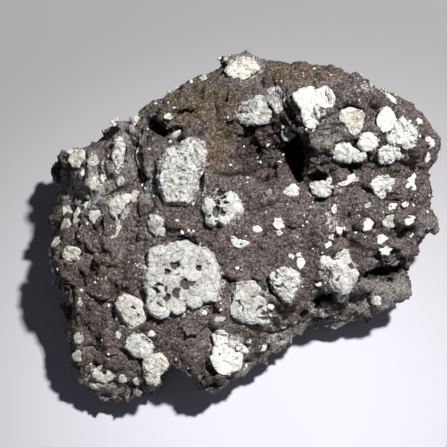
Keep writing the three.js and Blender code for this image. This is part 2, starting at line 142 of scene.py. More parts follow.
def smooth_noise(points: Array, pitch: float, seed: int) -> Array:
    """Smooth noise from -1 to 1: the values of the eight lattice points round each point, blended.

    Args:
        points: places in millimetres, shape (n, 3).
        pitch: spacing of the lattice in millimetres.
        seed: picks another noise.

    Returns:
        One number per point, shape (n,).
    """
    q = points / pitch
    base = np.floor(q)
    f = q - base
    f = f * f * (3 - 2 * f)
    total = np.zeros(len(points))
    for corner in np.ndindex(2, 2, 2):
        weight = np.prod(np.where(np.array(corner), f, 1 - f), axis=1)
        total += weight * lattice_values(base + np.array(corner), seed)
    return 2 * total - 1


# Each octave of noise is turned and moved against the one before, so that their lattices never line up.
TURN = np.array([[0.36, 0.48, -0.8], [-0.8, 0.6, 0.0], [0.48, 0.64, 0.6]])
SHIFT = 19.7
CONTRAST = 1.6


def rough_noise(points: Array, pitch: float, layers: int, seed: int) -> Array:
    """Noise from -1 to 1 with `layers` octaves: each is half the pitch and weight of the one before.

    Args:
        points: places in millimetres, shape (n, 3).
        pitch: size of the largest features in millimetres.
        layers: how many octaves are summed.
        seed: picks another noise.

    Returns:
        One number per point, shape (n,).
    """
    total, weight, whole = np.zeros(len(points)), 1.0, 0.0
    for layer in range(layers):
        points = points @ TURN + SHIFT
        total += weight * smooth_noise(points, pitch / 2**layer, seed + layer)
        whole += weight
        weight *= 0.5
    return total / whole * CONTRAST


def grains(points: Array, pitch: float, seed: int) -> tuple[Array, Array, Array]:
    """Split space into irregular grains, each round one jittered lattice point.

    Args:
        points: places in millimetres, shape (n, 3).
        pitch: mean size of a grain in millimetres.
        seed: picks another set of grains.

    Returns:
        How far each point is from its grain's border, as a share of the pitch; its grain's number from
        0 to 1; and its offset from the grain's middle in millimetres, shape (n, 3).
    """
    q = points / pitch
    base = np.floor(q)
    first, second = np.full(len(q), 9.0), np.full(len(q), 9.0)
    number, offset = np.zeros(len(q)), np.zeros_like(q)
    for step in np.ndindex(3, 3, 3):
        cell = base + np.array(step) - 1
        middle = cell + np.stack([lattice_values(cell, seed + k) for k in range(3)], axis=1)
        away = np.linalg.norm(q - middle, axis=1)
        nearer = away < first
        second = np.where(nearer, first, np.minimum(second, away))
        number = np.where(nearer, lattice_values(cell, seed + 7), number)
        offset = np.where(nearer[:, None], (q - middle) * pitch, offset)
        first = np.minimum(first, away)
    return second - first, number, offset


def broken_faces(points: Array, pitch: float, slope: float, seed: int) -> tuple[Array, Array]:
    """Break a surface into small flat faces that lean every way, as stone breaks.

    Each grain of space has a plane of its own, which stands in or out and leans by its own numbers.

    Args:
        points: places in millimetres, shape (n, 3).
        pitch: mean size of a face in millimetres.
        slope: how steeply a face may lean.
        seed: picks another set of faces.

    Returns:
        The height of each point in millimetres, and how near it is to its face's border, 0 to 1.
    """
    warp = np.stack([rough_noise(points, 0.8 * pitch, 3, seed + 30 + k) for k in range(3)], axis=1)
    border, number, offset = grains(points + 0.22 * pitch * warp, pitch, seed)
    lean = 2 * np.mod(number[:, None] * np.array([917.3, 541.7, 293.1]), 1.0) - 1
    height = slope * (0.55 * pitch * (number - 0.5) + np.sum(lean * offset, axis=1))
    return height, 1 - ease(0.0, 0.16, border)


def ease(low: float, high: float, values: Array) -> Array:
    """Rise smoothly from 0 at `low` to 1 at `high`."""
    t = np.clip((values - low) / (high - low), 0, 1)
    return t * t * (3 - 2 * t)


def distance_to_run(points: Array, run: Sequence[Pair]) -> tuple[Array, Array]:
    """Measure how far points are from a bent line, in the plane of the first two coordinates.

    Args:
        points: places, shape (n, 2 or more).
        run: the line's corners.

    Returns:
        The distance of each point, and how far along the line its nearest place is, from 0 to 1.
    """
    corners = np.array(run, float)
    lengths = np.linalg.norm(np.diff(corners, axis=0), axis=1)
    ends = np.concatenate([[0], np.cumsum(lengths)])
    best, along = np.full(len(points), 1e9), np.zeros(len(points))
    for a, b, start, length in zip(corners, corners[1:], ends, lengths):
        t = np.clip(((points[:, :2] - a) @ (b - a)) / length**2, 0, 1)
        away = np.linalg.norm(points[:, :2] - a - t[:, None] * (b - a), axis=1)
        along = np.where(away < best, (start + t * length) / ends[-1], along)
        best = np.minimum(best, away)
    return best, along


# Object and mesh helpers.


def new_object(name: str, data: bpy.types.ID) -> bpy.types.Object:
    """Put a mesh, light or camera into the scene as an object of this name."""
    made = bpy.data.objects.new(name, data)
    bpy.context.scene.collection.objects.link(made)
    return made


def fine_copy(node: str, voxel: float) -> bpy.types.Mesh:
    """Copy a CAD node's mesh, join its loose triangles and rebuild it from small even faces.

    Args:
        node: the CAD node's name.
        voxel: size of the new faces in millimetres.

    Returns:
        The fine mesh, in metres, where the node is.
    """
    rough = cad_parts[node].data.copy()
    work = bmesh.new()
    work.from_mesh(rough)
    bmesh.ops.remove_doubles(work, verts=work.verts, dist=1e-6)
    work.to_mesh(rough)
    work.free()
    carrier = new_object("carrier", rough)
    remesh = carrier.modifiers.new("even faces", "REMESH")
    remesh.mode = "VOXEL"
    remesh.voxel_size = voxel * MM
    remesh.use_smooth_shade = True
    graph = bpy.context.evaluated_depsgraph_get()
    fine = bpy.data.meshes.new_from_object(carrier.evaluated_get(graph), depsgraph=graph)
    bpy.data.objects.remove(carrier)
    bpy.data.meshes.remove(rough)
    return fine


def read_mesh(mesh: bpy.types.Mesh) -> tuple[Array, Array]:
    """Read a mesh's points, in millimetres, and its normals as whole arrays.

    Args:
        mesh: a mesh in metres.

    Returns:
        Points and normals, each of shape (n, 3).
    """
    points = np.empty(len(mesh.vertices) * 3)
    normals = np.empty(len(mesh.vertices) * 3)
    mesh.vertices.foreach_get("co", points)
    mesh.vertex_normals.foreach_get("vector", normals)
    return points.reshape(-1, 3) / MM, normals.reshape(-1, 3)


def surface_tree(mesh: bpy.types.Mesh) -> BVHTree:
    """Sort a mesh of quads, in metres, so that rays can be cast at it."""
    points, _ = read_mesh(mesh)
    corners = np.empty(len(mesh.loops), int)
    mesh.loops.foreach_get("vertex_index", corners)
    return BVHTree.FromPolygons((points * MM).tolist(), corners.reshape(-1, 4).tolist())


def write_points(mesh: bpy.types.Mesh, points: Array) -> None:
    """Put points, in millimetres, into a mesh."""
    mesh.vertices.foreach_set("co", (points * MM).ravel())
    mesh.update()


def write_attribute(mesh: bpy.types.Mesh, name: str, values: Array) -> None:
    """Store one number per point on a mesh, for its material to read."""
    layer = mesh.attributes.new(name, "FLOAT", "POINT")
    layer.data.foreach_set("value", values.astype(np.float32))


def inside_cad_box(points: Array, skin: float = 0.02) -> Array:
    """Press points, in millimetres, back inside the CAD model's box."""
    low, high = (np.array(corner) / MM for corner in CAD_BOX)
    return np.clip(points, low + [skin, skin, 0], high - skin)


def set_on_body(name: str, mesh: bpy.types.Mesh, material: Material) -> Piece:
    """Make a mesh into a piece of the stone.

    Args:
        name: the piece's name.
        mesh: its mesh, in metres and in place.
        material: its finish.

    Returns:
        The new object, riding on the stone's one body.
    """
    piece = new_object(name, mesh)
    mesh.materials.clear()
    mesh.materials.append(material)
    mesh.polygons.foreach_set("use_smooth", np.ones(len(mesh.polygons), bool))
    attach(piece, "root")
    return piece


# Finishes.


class NodeBoard:
    """A material's node tree, with short ways to add the nodes that the finishes use."""

    def __init__(self, name: str) -> None:
        """Start an empty material of this name."""
        self.material = bpy.data.materials.new(name)
        self.material.use_nodes = True
        self.tree = self.material.node_tree
        self.tree.nodes.clear()
        self.place = self.add("ShaderNodeTexCoord").outputs["Object"]

    def add(self, kind: str, **settings: object) -> bpy.types.Node:
        """Add a node of a kind and set its properties."""
        node = self.tree.nodes.new(kind)
        for name, value in settings.items():
            setattr(node, name, value)
        return node

    def feed(self, socket: Socket, value: object) -> None:
        """Link a socket to another, or set its constant."""
        if isinstance(value, Socket):
            self.tree.links.new(value, socket)
        elif isinstance(value, tuple) and len(value) == 3 and socket.type == "RGBA":
            socket.default_value = (*value, 1.0)
        else:
            socket.default_value = value

    def attribute(self, name: str) -> Socket:
        """A number stored on the mesh's points."""
        return self.add("ShaderNodeAttribute", attribute_name=name).outputs["Fac"]

    def stretched(self, scale: Triple, turn: float) -> Socket:
        """The place on the piece, turned about Z and stretched."""
        node = self.add("ShaderNodeMapping")
        self.feed(node.inputs["Vector"], self.place)
        node.inputs["Rotation"].default_value = (0, 0, turn)
        node.inputs["Scale"].default_value = scale
        return node.outputs["Vector"]

    def noise(self, size: float, detail: float = 4.0, rough: float = 0.6, vector: object = None) -> Socket:
        """Noise from 0 to 1 whose largest features measure `size` millimetres."""
        node = self.add("ShaderNodeTexNoise")
        self.feed(node.inputs["Vector"], vector or self.place)
        node.inputs["Scale"].default_value = 1 / (size * MM)
        node.inputs["Detail"].default_value = detail
        node.inputs["Roughness"].default_value = rough
        return node.outputs["Fac"]

    def cells(self, size: float, feature: str, vector: object) -> Socket:
        """Cells of `size` millimetres: the distance to their middles or to their borders."""
        node = self.add("ShaderNodeTexVoronoi", feature=feature)
        self.feed(node.inputs["Vector"], vector)
        node.inputs["Scale"].default_value = 1 / (size * MM)
        return node.outputs["Distance"]

    def warped(self, size: float, amount: float) -> Socket:
        """The place on the piece, pushed about by noise: size and amount in millimetres."""
        node = self.add("ShaderNodeTexNoise")
        self.feed(node.inputs["Vector"], self.place)
        node.inputs["Scale"].default_value = 1 / (size * MM)
        shift = self.add("ShaderNodeVectorMath", operation="MULTIPLY_ADD")
        self.feed(shift.inputs[0], node.outputs["Color"])
        shift.inputs[1].default_value = (amount * MM,) * 3
        self.feed(shift.inputs[2], self.place)
        return shift.outputs["Vector"]

    def ramp(self, value: object, low: float, high: float, start: float = 0.0, end: float = 1.0) -> Socket:
        """Carry a value from the span low..high to start..end, held at both ends."""
        node = self.add("ShaderNodeMapRange", clamp=True, interpolation_type="SMOOTHSTEP")
        self.feed(node.inputs["Value"], value)
        for name, number in (("From Min", low), ("From Max", high), ("To Min", start), ("To Max", end)):
            node.inputs[name].default_value = number
        return node.outputs["Result"]

    def maths(self, operation: str, a: object, b: object = 0.0) -> Socket:
        """One sum on two values."""
        node = self.add("ShaderNodeMath", operation=operation)
        self.feed(node.inputs[0], a)
        self.feed(node.inputs[1], b)
        return node.outputs["Value"]

    def mix(self, share: object, a: object, b: object) -> Socket:
        """Blend two colours by a share."""
        node = self.add("ShaderNodeMix", data_type="RGBA")
        self.feed(node.inputs[0], share)
        first, second = (socket for socket in node.inputs[1:] if socket.type == "RGBA")
        self.feed(first, a)
        self.feed(second, b)
        return next(socket for socket in node.outputs if socket.type == "RGBA")

    def bump(self, height: object, depth: float, strength: float = 1.0, below: object = None) -> Socket:
        """Fine relief `depth` millimetres deep, on top of the relief below."""
        node = self.add("ShaderNodeBump")
        node.inputs["Strength"].default_value = strength
        node.inputs["Distance"].default_value = depth * MM
        self.feed(node.inputs["Height"], height)
        if below is not None:
            self.feed(node.inputs["Normal"], below)
        return node.outputs["Normal"]

    def finish(self, colour: object, roughness: object, normal: object, specular: float) -> Material:
        """Close the material with its shader."""
        shader = self.add("ShaderNodeBsdfPrincipled")
        self.feed(shader.inputs["Base Color"], colour)
        self.feed(shader.inputs["Roughness"], roughness)
        shader.inputs["Specular IOR Level"].default_value = specular
        self.feed(shader.inputs["Normal"], normal)
        output = self.add("ShaderNodeOutputMaterial")
        self.feed(output.inputs["Surface"], shader.outputs["BSDF"])
        return self.material


@dataclass(frozen=True)
class LavaFinish:
    """The groundmass: fine-grained lava, flecked pale and dark, with painted shade that turns it near black
    in its pits and cracks.
    """

    # Near black: the dark flecks and hairline cracks, and also the painted shade laid in the pits and
    # cracks.
    shade: Colour = (0.026, 0.020, 0.020)
    dark: Colour = (0.114, 0.091, 0.086)
    middle: Colour = (0.224, 0.178, 0.165)
    pale: Colour = (0.50, 0.455, 0.43)
    rust: Colour = (0.185, 0.122, 0.088)
    # Dark reddish brown for the deep hollow: partly its own tone, partly painted shade.
    maroon: Colour = (0.072, 0.047, 0.044)
    olive: Colour = (0.172, 0.128, 0.072)
    # Pale grey ash; on the left flank and the lower lobes it also paints fill light on the sides turned
    # from the key light.
    ash: Colour = (0.40, 0.38, 0.365)
    salt: Colour = (0.82, 0.81, 0.77)

    def material(self) -> Material:
        """Build the material."""
        b = NodeBoard("lava")
        painted_cavity_shade = b.attribute("painted_cavity_shade")
        colour = b.mix(b.ramp(b.noise(8, 6, 0.65), 0.34, 0.66), self.dark, self.middle)
        colour = b.mix(b.ramp(b.attribute("olive"), 0, 1, 0, 0.85), colour, self.olive)
        colour = b.mix(b.ramp(b.attribute("rust"), 0, 1, 0, 0.75), colour, self.rust)
        # Ash patches: partly grey ash, partly painted fill light on the sides turned from the key light.
        colour = b.mix(b.ramp(b.attribute("ash"), 0, 1, 0, 0.85), colour, self.ash)
        # The hollow: its reddish-brown tone darkened with painted shade.
        colour = b.mix(b.ramp(b.attribute("maroon"), 0, 1, 0, 0.9), colour, self.maroon)
        fine = b.noise(0.75, 4, 0.7)
        colour = b.mix(b.ramp(fine, 0.53, 0.65, 0, 0.75), colour, self.pale)
        colour = b.mix(b.ramp(fine, 0.48, 0.38, 0, 0.92), colour, self.shade)
        flecks = b.noise(0.62, 2, 0.5, b.warped(0.9, 0.7))
        colour = b.mix(b.ramp(flecks, 0.68, 0.74, 0, 0.75), colour, self.salt)
        strewn = b.maths("ADD", b.noise(1.1, 5, 0.72), b.maths("MULTIPLY", b.attribute("salt"), 0.28))
        colour = b.mix(b.ramp(strewn, 0.75, 0.81, 0, 0.9), colour, self.salt)
        web = b.cells(4.2, "DISTANCE_TO_EDGE", b.warped(2.6, 3.2))
        hairline = b.maths("MULTIPLY", b.ramp(web, 0.035, 0.0), b.ramp(b.noise(5, 3), 0.46, 0.56))
        colour = b.mix(b.maths("MULTIPLY", hairline, 0.8), colour, self.shade)
        # Painted shade: near black where the surface was pushed in, in its cracks and along the borders of
        # its small faces.
        colour = b.mix(b.ramp(painted_cavity_shade, 0.36, 1.0, 0, 0.92), colour, self.shade)
        height = b.maths("SUBTRACT", b.noise(1.9, 8, 0.8), b.maths("MULTIPLY", hairline, 0.35))
        relief = b.bump(height, 1.0, 1.0)
        relief = b.bump(b.cells(0.7, "SMOOTH_F1", b.warped(0.8, 0.7)), 0.4, 1.0, relief)
        return b.finish(colour, b.ramp(fine, 0.3, 0.7, 0.78, 0.96), relief, 0.25)


@dataclass(frozen=True)
class LeuciteFinish:
    """Leucite: chalky, darker along its cracks and creases, with painted shade in its pores, and brown lava
    with painted shade in its pits.
    """

    name: str
    body: Colour
    tint: Colour
    dark_grey: Colour = (0.11, 0.104, 0.096)
    lava: Colour = (0.17, 0.16, 0.15)
    hole_shade: Colour = (0.045, 0.043, 0.043)
    fresh: Colour = (0.95, 0.95, 0.92)
    speckled: float = 0.6
    crazed: float = 0.7
    porous: float = 0.0
    coarse: float = 0.8

    def material(self) -> Material:
        """Build the material."""
        b = NodeBoard(self.name)
        colour = b.mix(b.ramp(b.noise(3.0, 6, 0.7), 0.45, 0.60), self.body, self.tint)
        streaks = b.noise(1.3, 4, 0.7, b.stretched((1.0, 0.35, 0.6), 0.9))
        colour = b.mix(b.ramp(streaks, 0.56, 0.70, 0, 0.6), colour, self.tint)
        spots = b.ramp(b.noise(0.6, 3, 0.6), 0.44, 0.33)
        colour = b.mix(b.maths("MULTIPLY", spots, self.speckled), colour, self.dark_grey)
        level = b.maths("ABSOLUTE", b.maths("SUBTRACT", b.noise(2.4, 5, 0.62, b.warped(1.4, 1.6)), 0.5))
        craze = b.maths("MULTIPLY", b.ramp(level, 0.02, 0.004), b.ramp(b.noise(2.0, 2), 0.44, 0.54))
        colour = b.mix(b.maths("MULTIPLY", craze, self.crazed), colour, self.dark_grey)
        colour = b.mix(b.ramp(b.attribute("bloom"), 0, 1, 0, 0.75), colour, self.fresh)
        # Darker along the sunk cracks and round the lumps.
        colour = b.mix(b.ramp(b.attribute("crease"), 0.25, 1.0, 0, 0.8), colour, self.dark_grey)
        # Pores: dark spots of painted shade.
        pores = b.ramp(b.cells(1.15, "F1", b.warped(1.0, 1.5)), 0.40, 0.26)
        pores = b.maths("MULTIPLY", pores, b.ramp(b.noise(2.4, 2), 0.40, 0.52))
        pores = b.maths("MULTIPLY", pores, self.porous)
        colour = b.mix(pores, colour, self.hole_shade)
        # Pit floors: brown lava mixed with painted shade.
        floor = b.mix(b.ramp(b.noise(0.9, 4, 0.7), 0.36, 0.60), self.hole_shade, self.lava)
        colour = b.mix(b.ramp(b.attribute("pit"), 0.1, 0.75, 0, 0.95), colour, floor)
        dents = b.maths("ADD", b.maths("MULTIPLY", craze, 0.3), b.maths("MULTIPLY", pores, 0.5))
        height = b.maths("SUBTRACT", b.noise(1.3, 8, 0.78), dents)
        return b.finish(colour, 0.85, b.bump(height, self.coarse, 0.9), 0.25)


BRIGHT = LeuciteFinish(
    "leucite_bright",
    body=(0.93, 0.93, 0.895),
    tint=(0.85, 0.84, 0.78),
    speckled=0.05,
    crazed=0.12,
    coarse=0.4,
)
WHITE = LeuciteFinish("leucite_white", body=(0.88, 0.88, 0.84), tint=(0.66, 0.66, 0.60))
RUSTED = LeuciteFinish(
    "leucite_rusted",
    body=(0.93, 0.93, 0.89),
    tint=(0.72, 0.71, 0.64),
    lava=(0.16, 0.115, 0.095),
    crazed=0.85,
    coarse=1.15,
)
SUGARY = LeuciteFinish(
    "leucite_sugary", body=(0.93, 0.93, 0.88), tint=(0.64, 0.63, 0.59), speckled=0.95, porous=0.6
)
CLEAN = LeuciteFinish(
    "leucite_clean",
    body=(0.95, 0.95, 0.91),
    tint=(0.76, 0.75, 0.69),
    lava=(0.135, 0.085, 0.068),
    speckled=0.25,
)
SPONGY = LeuciteFinish(
    "leucite_spongy", body=(0.97, 0.97, 0.94), tint=(0.85, 0.85, 0.81), speckled=0.4, porous=0.6
)
CREAM = LeuciteFinish(
    "leucite_cream", body=(0.91, 0.895, 0.81), tint=(0.69, 0.66, 0.575), speckled=0.55, crazed=0.8
)
CLOUDY = LeuciteFinish(
    "leucite_cloudy", body=(0.84, 0.84, 0.80), tint=(0.36, 0.365, 0.36), speckled=0.9, crazed=0.95
)
FINISHES = (BRIGHT, WHITE, CLEAN, RUSTED, SUGARY, SPONGY, CREAM, CLOUDY)


# The groundmass.


@dataclass(frozen=True)
class Crack:
    """A crack in the broad face: its run in u, v, its half width and its depth."""

    run: tuple[Pair, ...]
    width: float
    depth: float


@dataclass(frozen=True)
class Stain:
    """A discoloured patch of the broad face, some of them partly painted light or shade: its centre in u,
    v, half sizes, colour and strength.
    """

    centre: Pair
    half: Pair
    colour: str
    strength: float = 1.0


@dataclass(frozen=True)
class Silt:
    """Dust packed into a cleft: its run in u, v, its width and how high it lies, in w, at either end."""

    run: tuple[Pair, ...]
    width: float
    levels: Pair


SILTS = (
    Silt(((-36, 34), (-32.8, 26), (-30, 9)), 3.4, (0.5, 9.6)),
    Silt(((13, 42), (12.6, 34), (13.4, 28.5)), 3.0, (9.0, 5.5)),
)

CRACKS = (
    Crack(((-35.6, 33), (-32.2, 25.6), (-31.6, 22), (-30.4, 14), (-29.4, 8)), 1.0, 2.4),
    Crack(((-28.5, 33), (-25.5, 29), (-21.8, 26)), 1.5, 2.6),
    Crack(((-9.8, 16.6), (-3.5, 15.2), (2.5, 15.4), (6.5, 14), (9, 12.8)), 0.8, 1.8),
    Crack(((18.5, 14.6), (26, 16), (32, 17.6), (38, 18.6), (43, 19.4), (48, 18.4)), 0.7, 1.5),
    Crack(((19.5, 7), (23.4, 8), (28, 9.6)), 0.6, 1.6),
    Crack(((32, -12.2), (36, -13.8), (42, -13.8), (48, -13), (52, -13.6)), 1.1, 3.0),
    Crack(((19, -24.4), (23, -21.6), (29.6, -21)), 1.2, 2.6),
    Crack(((-41.7, -4.6), (-39.2, -9.4), (-36.4, -14)), 0.5, 1.1),
    Crack(((-43.4, -5.4), (-41.9, -10.7), (-40.4, -19.4)), 0.45, 1.0),
    Crack(((-37.4, -36), (-33, -37.2), (-29.6, -39.8)), 0.5, 1.3),
    Crack(((-27, -4.8), (-22, -3.6), (-16, -3.4), (-11.6, -3.4)), 0.45, 1.1),
    Crack(((-7, -15.4), (-4, -16.4), (-0.8, -16)), 0.7, 1.5),
    Crack(((4.6, -14), (8, -18), (9.8, -23)), 0.6, 1.6),
    Crack(((7, -23), (12, -25.4), (17, -22.6)), 1.3, 1.8),
    Crack(((-11.4, -4.6), (-8.8, -6.8)), 0.45, 1.0),
    Crack(((16.8, 1.6), (18.6, -0.8)), 0.4, 0.9),
    Crack(((-8.8, 37), (-7.4, 30)), 0.5, 1.1),
    Crack(((-49, -12.6), (-48, -16.4)), 0.5, 1.2),
    Crack(((-44, 9.6), (-41, 8.6), (-37, 11.4), (-33, 12.4)), 0.6, 1.4),
    Crack(((-47, -2.2), (-43, -0.4), (-40.2, 3.4)), 0.5, 1.2),
    Crack(((-50, 26), (-47, 17.4), (-48.4, 11)), 0.5, 1.2),
    Crack(((-42, 27.6), (-40.6, 19), (-39.4, 12.4)), 0.6, 1.5),
    Crack(((13, 42), (12.6, 37), (15.2, 31.4), (14.4, 26)), 0.6, 1.3),
    Crack(((3, -30), (10, -32.4), (15, -29.4)), 0.6, 1.2),
    Crack(((-16.4, -37), (-11.6, -36.2), (-10.4, -42)), 0.5, 1.1),
    Crack(((24, 43.8), (29, 40), (36, 39.2)), 0.4, 0.8),
    Crack(((13.4, 27), (15.6, 19), (18.6, 13.4)), 2.6, 4.6),
    Crack(((15, 15.4), (20, 13.2), (26, 14.6)), 1.6, 3.6),
    Crack(((2, 28), (6, 22), (4, 17)), 1.2, 1.4),
    Crack(((-34, 1.6), (-28, 3.4), (-22, 4.6)), 0.5, 1.0),
    Crack(((30, 21), (36, 22.6), (44, 17)), 0.4, 0.9),
    Crack(((14.6, 25.5), (18.6, 23), (21.6, 21.4)), 0.7, 1.4),
    Crack(((16.2, 20.6), (20.4, 18.6), (25.6, 18.8)), 0.8, 1.6),
    Crack(((11, 37), (13.2, 32.6), (16.4, 29.4)), 1.1, 1.8),
    Crack(((6.4, 31.4), (10.6, 29), (14, 26)), 0.9, 1.6),
    Crack(((-27.6, 12), (-26.4, 6), (-28.4, 2)), 0.8, 1.2),
    Crack(((35.6, 10.4), (40, 8.4), (44.8, 8), (50.5, 5.6), (57.6, 7.4)), 0.5, 1.4),
    Crack(((27.2, 1.2), (34.3, -0.7), (41, 0.3), (46.7, -0.2), (53.4, 3.6)), 0.5, 1.5),
    Crack(((28, -2.6), (32, -4.6), (35.6, -6.8), (41.4, -6.5)), 0.8, 1.7),
    Crack(((31.4, -9.2), (39.1, -9.2), (46.7, -9.2), (50.4, -9.2)), 0.5, 1.5),
    Crack(((32.9, 13.1), (37.6, 10.3), (42.4, 7.4)), 0.4, 1.0),
    Crack(((31.9, 16.5), (35.6, 17.4), (40, 16.5), (45.8, 15)), 0.4, 1.0),
    Crack(((20, 8.8), (22.8, 7.9), (26.2, 9.3)), 0.5, 1.2),
)

# The deep hollow's middle and half sizes, in u, v.
HOLLOW = (4.6, 23.4)
HOLLOW_HALF = (9.5, 8.6)

# The ash patches on the left flank and the lower lobes are partly painted fill light.
STAINS = (
    Stain((-13, 36), (11, 7), "olive"),
    Stain((-7, 26), (6, 7), "olive"),
    Stain((12, 46), (12, 4), "olive"),
    Stain((24, 46), (9, 3.5), "rust"),
    Stain((-42.4, -13), (4.5, 6), "rust"),
    Stain((-8.5, 21), (5, 7), "rust"),
    Stain((0, 49), (7, 4), "ash"),
    Stain((-37, 27), (6, 8), "ash", 0.7),
    Stain((-46, 14), (10, 11), "ash", 0.9),
    Stain((54, -1), (7, 5), "ash", 0.6),
    Stain((40, -20), (14, 8), "ash", 0.9),
    Stain((44, -10), (10, 4), "ash", 0.5),
    Stain((13, -31), (9, 6), "ash", 0.5),
    Stain((0, -43), (12, 4), "ash", 0.5),
    Stain((-38, -49), (10, 5), "ash"),
    Stain((-10, -31), (12, 7), "ash", 0.4),
    # The deep hollow: reddish brown, darkened with painted shade.
    Stain(HOLLOW, HOLLOW_HALF, "maroon"),
    Stain((-33.5, 24), (4.5, 9), "ash"),
    Stain((-27.5, 14), (4, 9), "ash"),
    Stain((6, -19), (9, 8), "ash", 0.4),
    Stain((26, 28), (7, 7), "ash"),
    Stain((-17.5, 16), (7, 10.5), "salt"),
    Stain((45, 26), (6, 6), "salt"),
    Stain((26, 0), (3, 8), "salt"),
    Stain((24, -24), (12, 3), "salt"),
    Stain((12, -34), (9, 3), "salt"),
    Stain((-45, -46), (7, 4), "salt"),
    Stain((-44, 12), (10, 12), "salt"),
    Stain((40, 41), (10, 3), "salt"),
)


@dataclass
class Groundmass:
    """The dark lava: the CAD solid broken up into faces, ledges, cracks and crumbs."""

    voxel: float = 0.665
    lump: float = 8.0
    lump_slope: float = 0.30
    chip: float = 3.2
    chip_slope: float = 0.24
    grit: float = 1.3
    grit_slope: float = 0.28
    crag: float = 2.3
    crag_slope: float = 0.85
    ledge: float = 2.9
    ledge_depth: float = 1.15
    calm: Pair = (-2.0, -10.0)
    calm_half: Pair = (30.0, 24.0)
    base: float = 0.6
    lean_in: float = 1.1
    ring: float = 0.4

    def ledges(self, face: Array) -> Array:
        """Cut the right-hand flank into thin ledges.

        The height climbs like a saw's teeth down the face, along bent bands that run left to right.

        Args:
            face: places as u, v, w, shape (n, 3).

        Returns:
            The height of each point, shape (n,).
        """
        stretched = face * np.array([0.35, 1.0, 0.6])
        bent = face[:, 1] + 0.06 * (face[:, 0] - 36) + 2.2 * rough_noise(stretched, 8, 4, 71)
        tooth = np.mod(-bent / self.ledge, 1.0)
        saw = (ease(0.0, 0.25, tooth) - 0.9 * tooth) * (0.6 + 0.6 * rough_noise(stretched, 6, 2, 77))
        here = ease(20, 31, face[:, 0]) * ease(-25, -14, face[:, 1]) * (1 - ease(13, 18, face[:, 1]))
        left = ease(-34, -42, face[:, 0]) * ease(-8, 0, face[:, 1]) * 0.35
        return saw * np.maximum(here, left)

    def build(self) -> Piece:
        """Make the surface and its stains.

        Returns:
            The piece, standing for the CAD solid.
        """
        mesh = fine_copy("groundmass", self.voxel)
        points, normals = read_mesh(mesh)
        face = FACE.inward(points)
        facing = normals @ FACE.axes()[2]

        lumps, _ = broken_faces(points, self.lump, self.lump_slope, 3)
        chips, chip_border = broken_faces(points, self.chip, self.chip_slope, 11)
        grit, grit_border = broken_faces(points, self.grit, self.grit_slope, 23)
        middle = np.linalg.norm((face[:, :2] - self.calm) / self.calm_half, axis=1)
        rugged = 0.55 + 0.45 * ease(0.7, 1.2, middle)
        shift = rugged * (lumps + chips) + grit + 0.3 * rough_noise(points, 4.5, 5, 5)
        craggy = ease(1.25, 0.7, np.linalg.norm((face[:, :2] - HOLLOW) / HOLLOW_HALF, axis=1))
        crags, _ = broken_faces(points, self.crag, self.crag_slope, 37)
        shift += craggy * (crags + 1.2 * rough_noise(points, 2.4, 4, 39) - 0.6)
        near = self.near_crystals(points)
        shift -= self.ring * near
        under = ease(0.45, -0.1, facing) * ease(0.1, -0.5, normals[:, 1])
        shift += 0.1 - self.lean_in * under

        front = ease(0.05, 0.45, facing)
        ledges = self.ledges(face)
        shift += self.ledge_depth * ledges * front

        cut = np.zeros(len(points))
        wander = np.stack([rough_noise(face, 3.0, 3, 41), rough_noise(face, 3.0, 3, 47)], axis=1)
        for crack in CRACKS:
            away, along = distance_to_run(face[:, :2] + 0.9 * wander, crack.run)
            taper = np.sqrt(np.clip(4 * along * (1 - along), 0.06, 1))
            reach = crack.width * taper
            cut = np.maximum(cut, crack.depth * taper * np.exp(-((away / reach) ** 2)))
        vein = np.abs(rough_noise(points, 9, 4, 61))
        broken = ease(0.0, 0.5, rough_noise(points, 14, 2, 67))
        cut = np.maximum(cut, 0.7 * (1 - ease(0.0, 0.035, vein)) * broken)
        cut *= np.maximum(front, 0.3)

        on_floor = points[:, 2] < self.base
        moved = points + normals * shift[:, None] - FACE.axes()[2] * cut[:, None]
        raised = FACE.inward(moved)
        for silt in SILTS:
            away, along = distance_to_run(raised, silt.run)
            level = np.interp(along, (0, 1), silt.levels) + 0.7 * rough_noise(face, 2.6, 4, 33)
            raised[:, 2] = np.where(away < silt.width, np.maximum(raised[:, 2], level), raised[:, 2])
        moved = np.where(facing[:, None] > -0.5, FACE.outward(raised), moved)
        worn = np.clip(-0.9 * (shift + 0.3), 0.06, 1.6)
        moved[:, 2] = np.where(on_floor, worn, moved[:, 2])
        write_points(mesh, inside_cad_box(moved))

        # Painted shade: how deep each point was pushed in, the borders of the small broken faces and the
        # cracks, for the material to darken.
        depth = np.clip(-(shift + self.lean_in * under) / 1.9, 0, 1)
        painted_cavity_shade = 0.65 * depth + 0.2 * chip_border + 0.15 * grit_border
        painted_cavity_shade = np.maximum(painted_cavity_shade, np.clip(cut / 1.1, 0, 1))
        write_attribute(mesh, "painted_cavity_shade", painted_cavity_shade)
        # The ash patches carry painted fill light as well as grey ash.
        for colour in ("rust", "olive", "ash", "maroon"):
            write_attribute(mesh, colour, self.stained(face, facing, colour))
        salt = np.maximum(self.stained(face, facing, "salt"), near)
        write_attribute(mesh, "salt", salt)
        piece = set_on_body("groundmass_surface", mesh, LavaFinish().material())
        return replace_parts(piece, "groundmass")

    def near_crystals(self, points: Array) -> Array:
        """Find the rock just outside each large crystal, where white grains are strewn.

        The distance is measured in ellipsoids that fill the crystals' boxes.

        Args:
            points: places in millimetres, shape (n, 3).

        Returns:
            A number for each point that falls from 1 at a crystal to 0 away from it.
        """
        near = np.zeros(len(points))
        for crystal in CRYSTALS:
            low, high = (np.array(corner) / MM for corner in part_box(crystal.node))
            reach = np.linalg.norm((points - (low + high) / 2) / ((high - low) / 2 + 0.6), axis=1)
            near = np.maximum(near, ease(1.35, 0.95, reach))
        return near

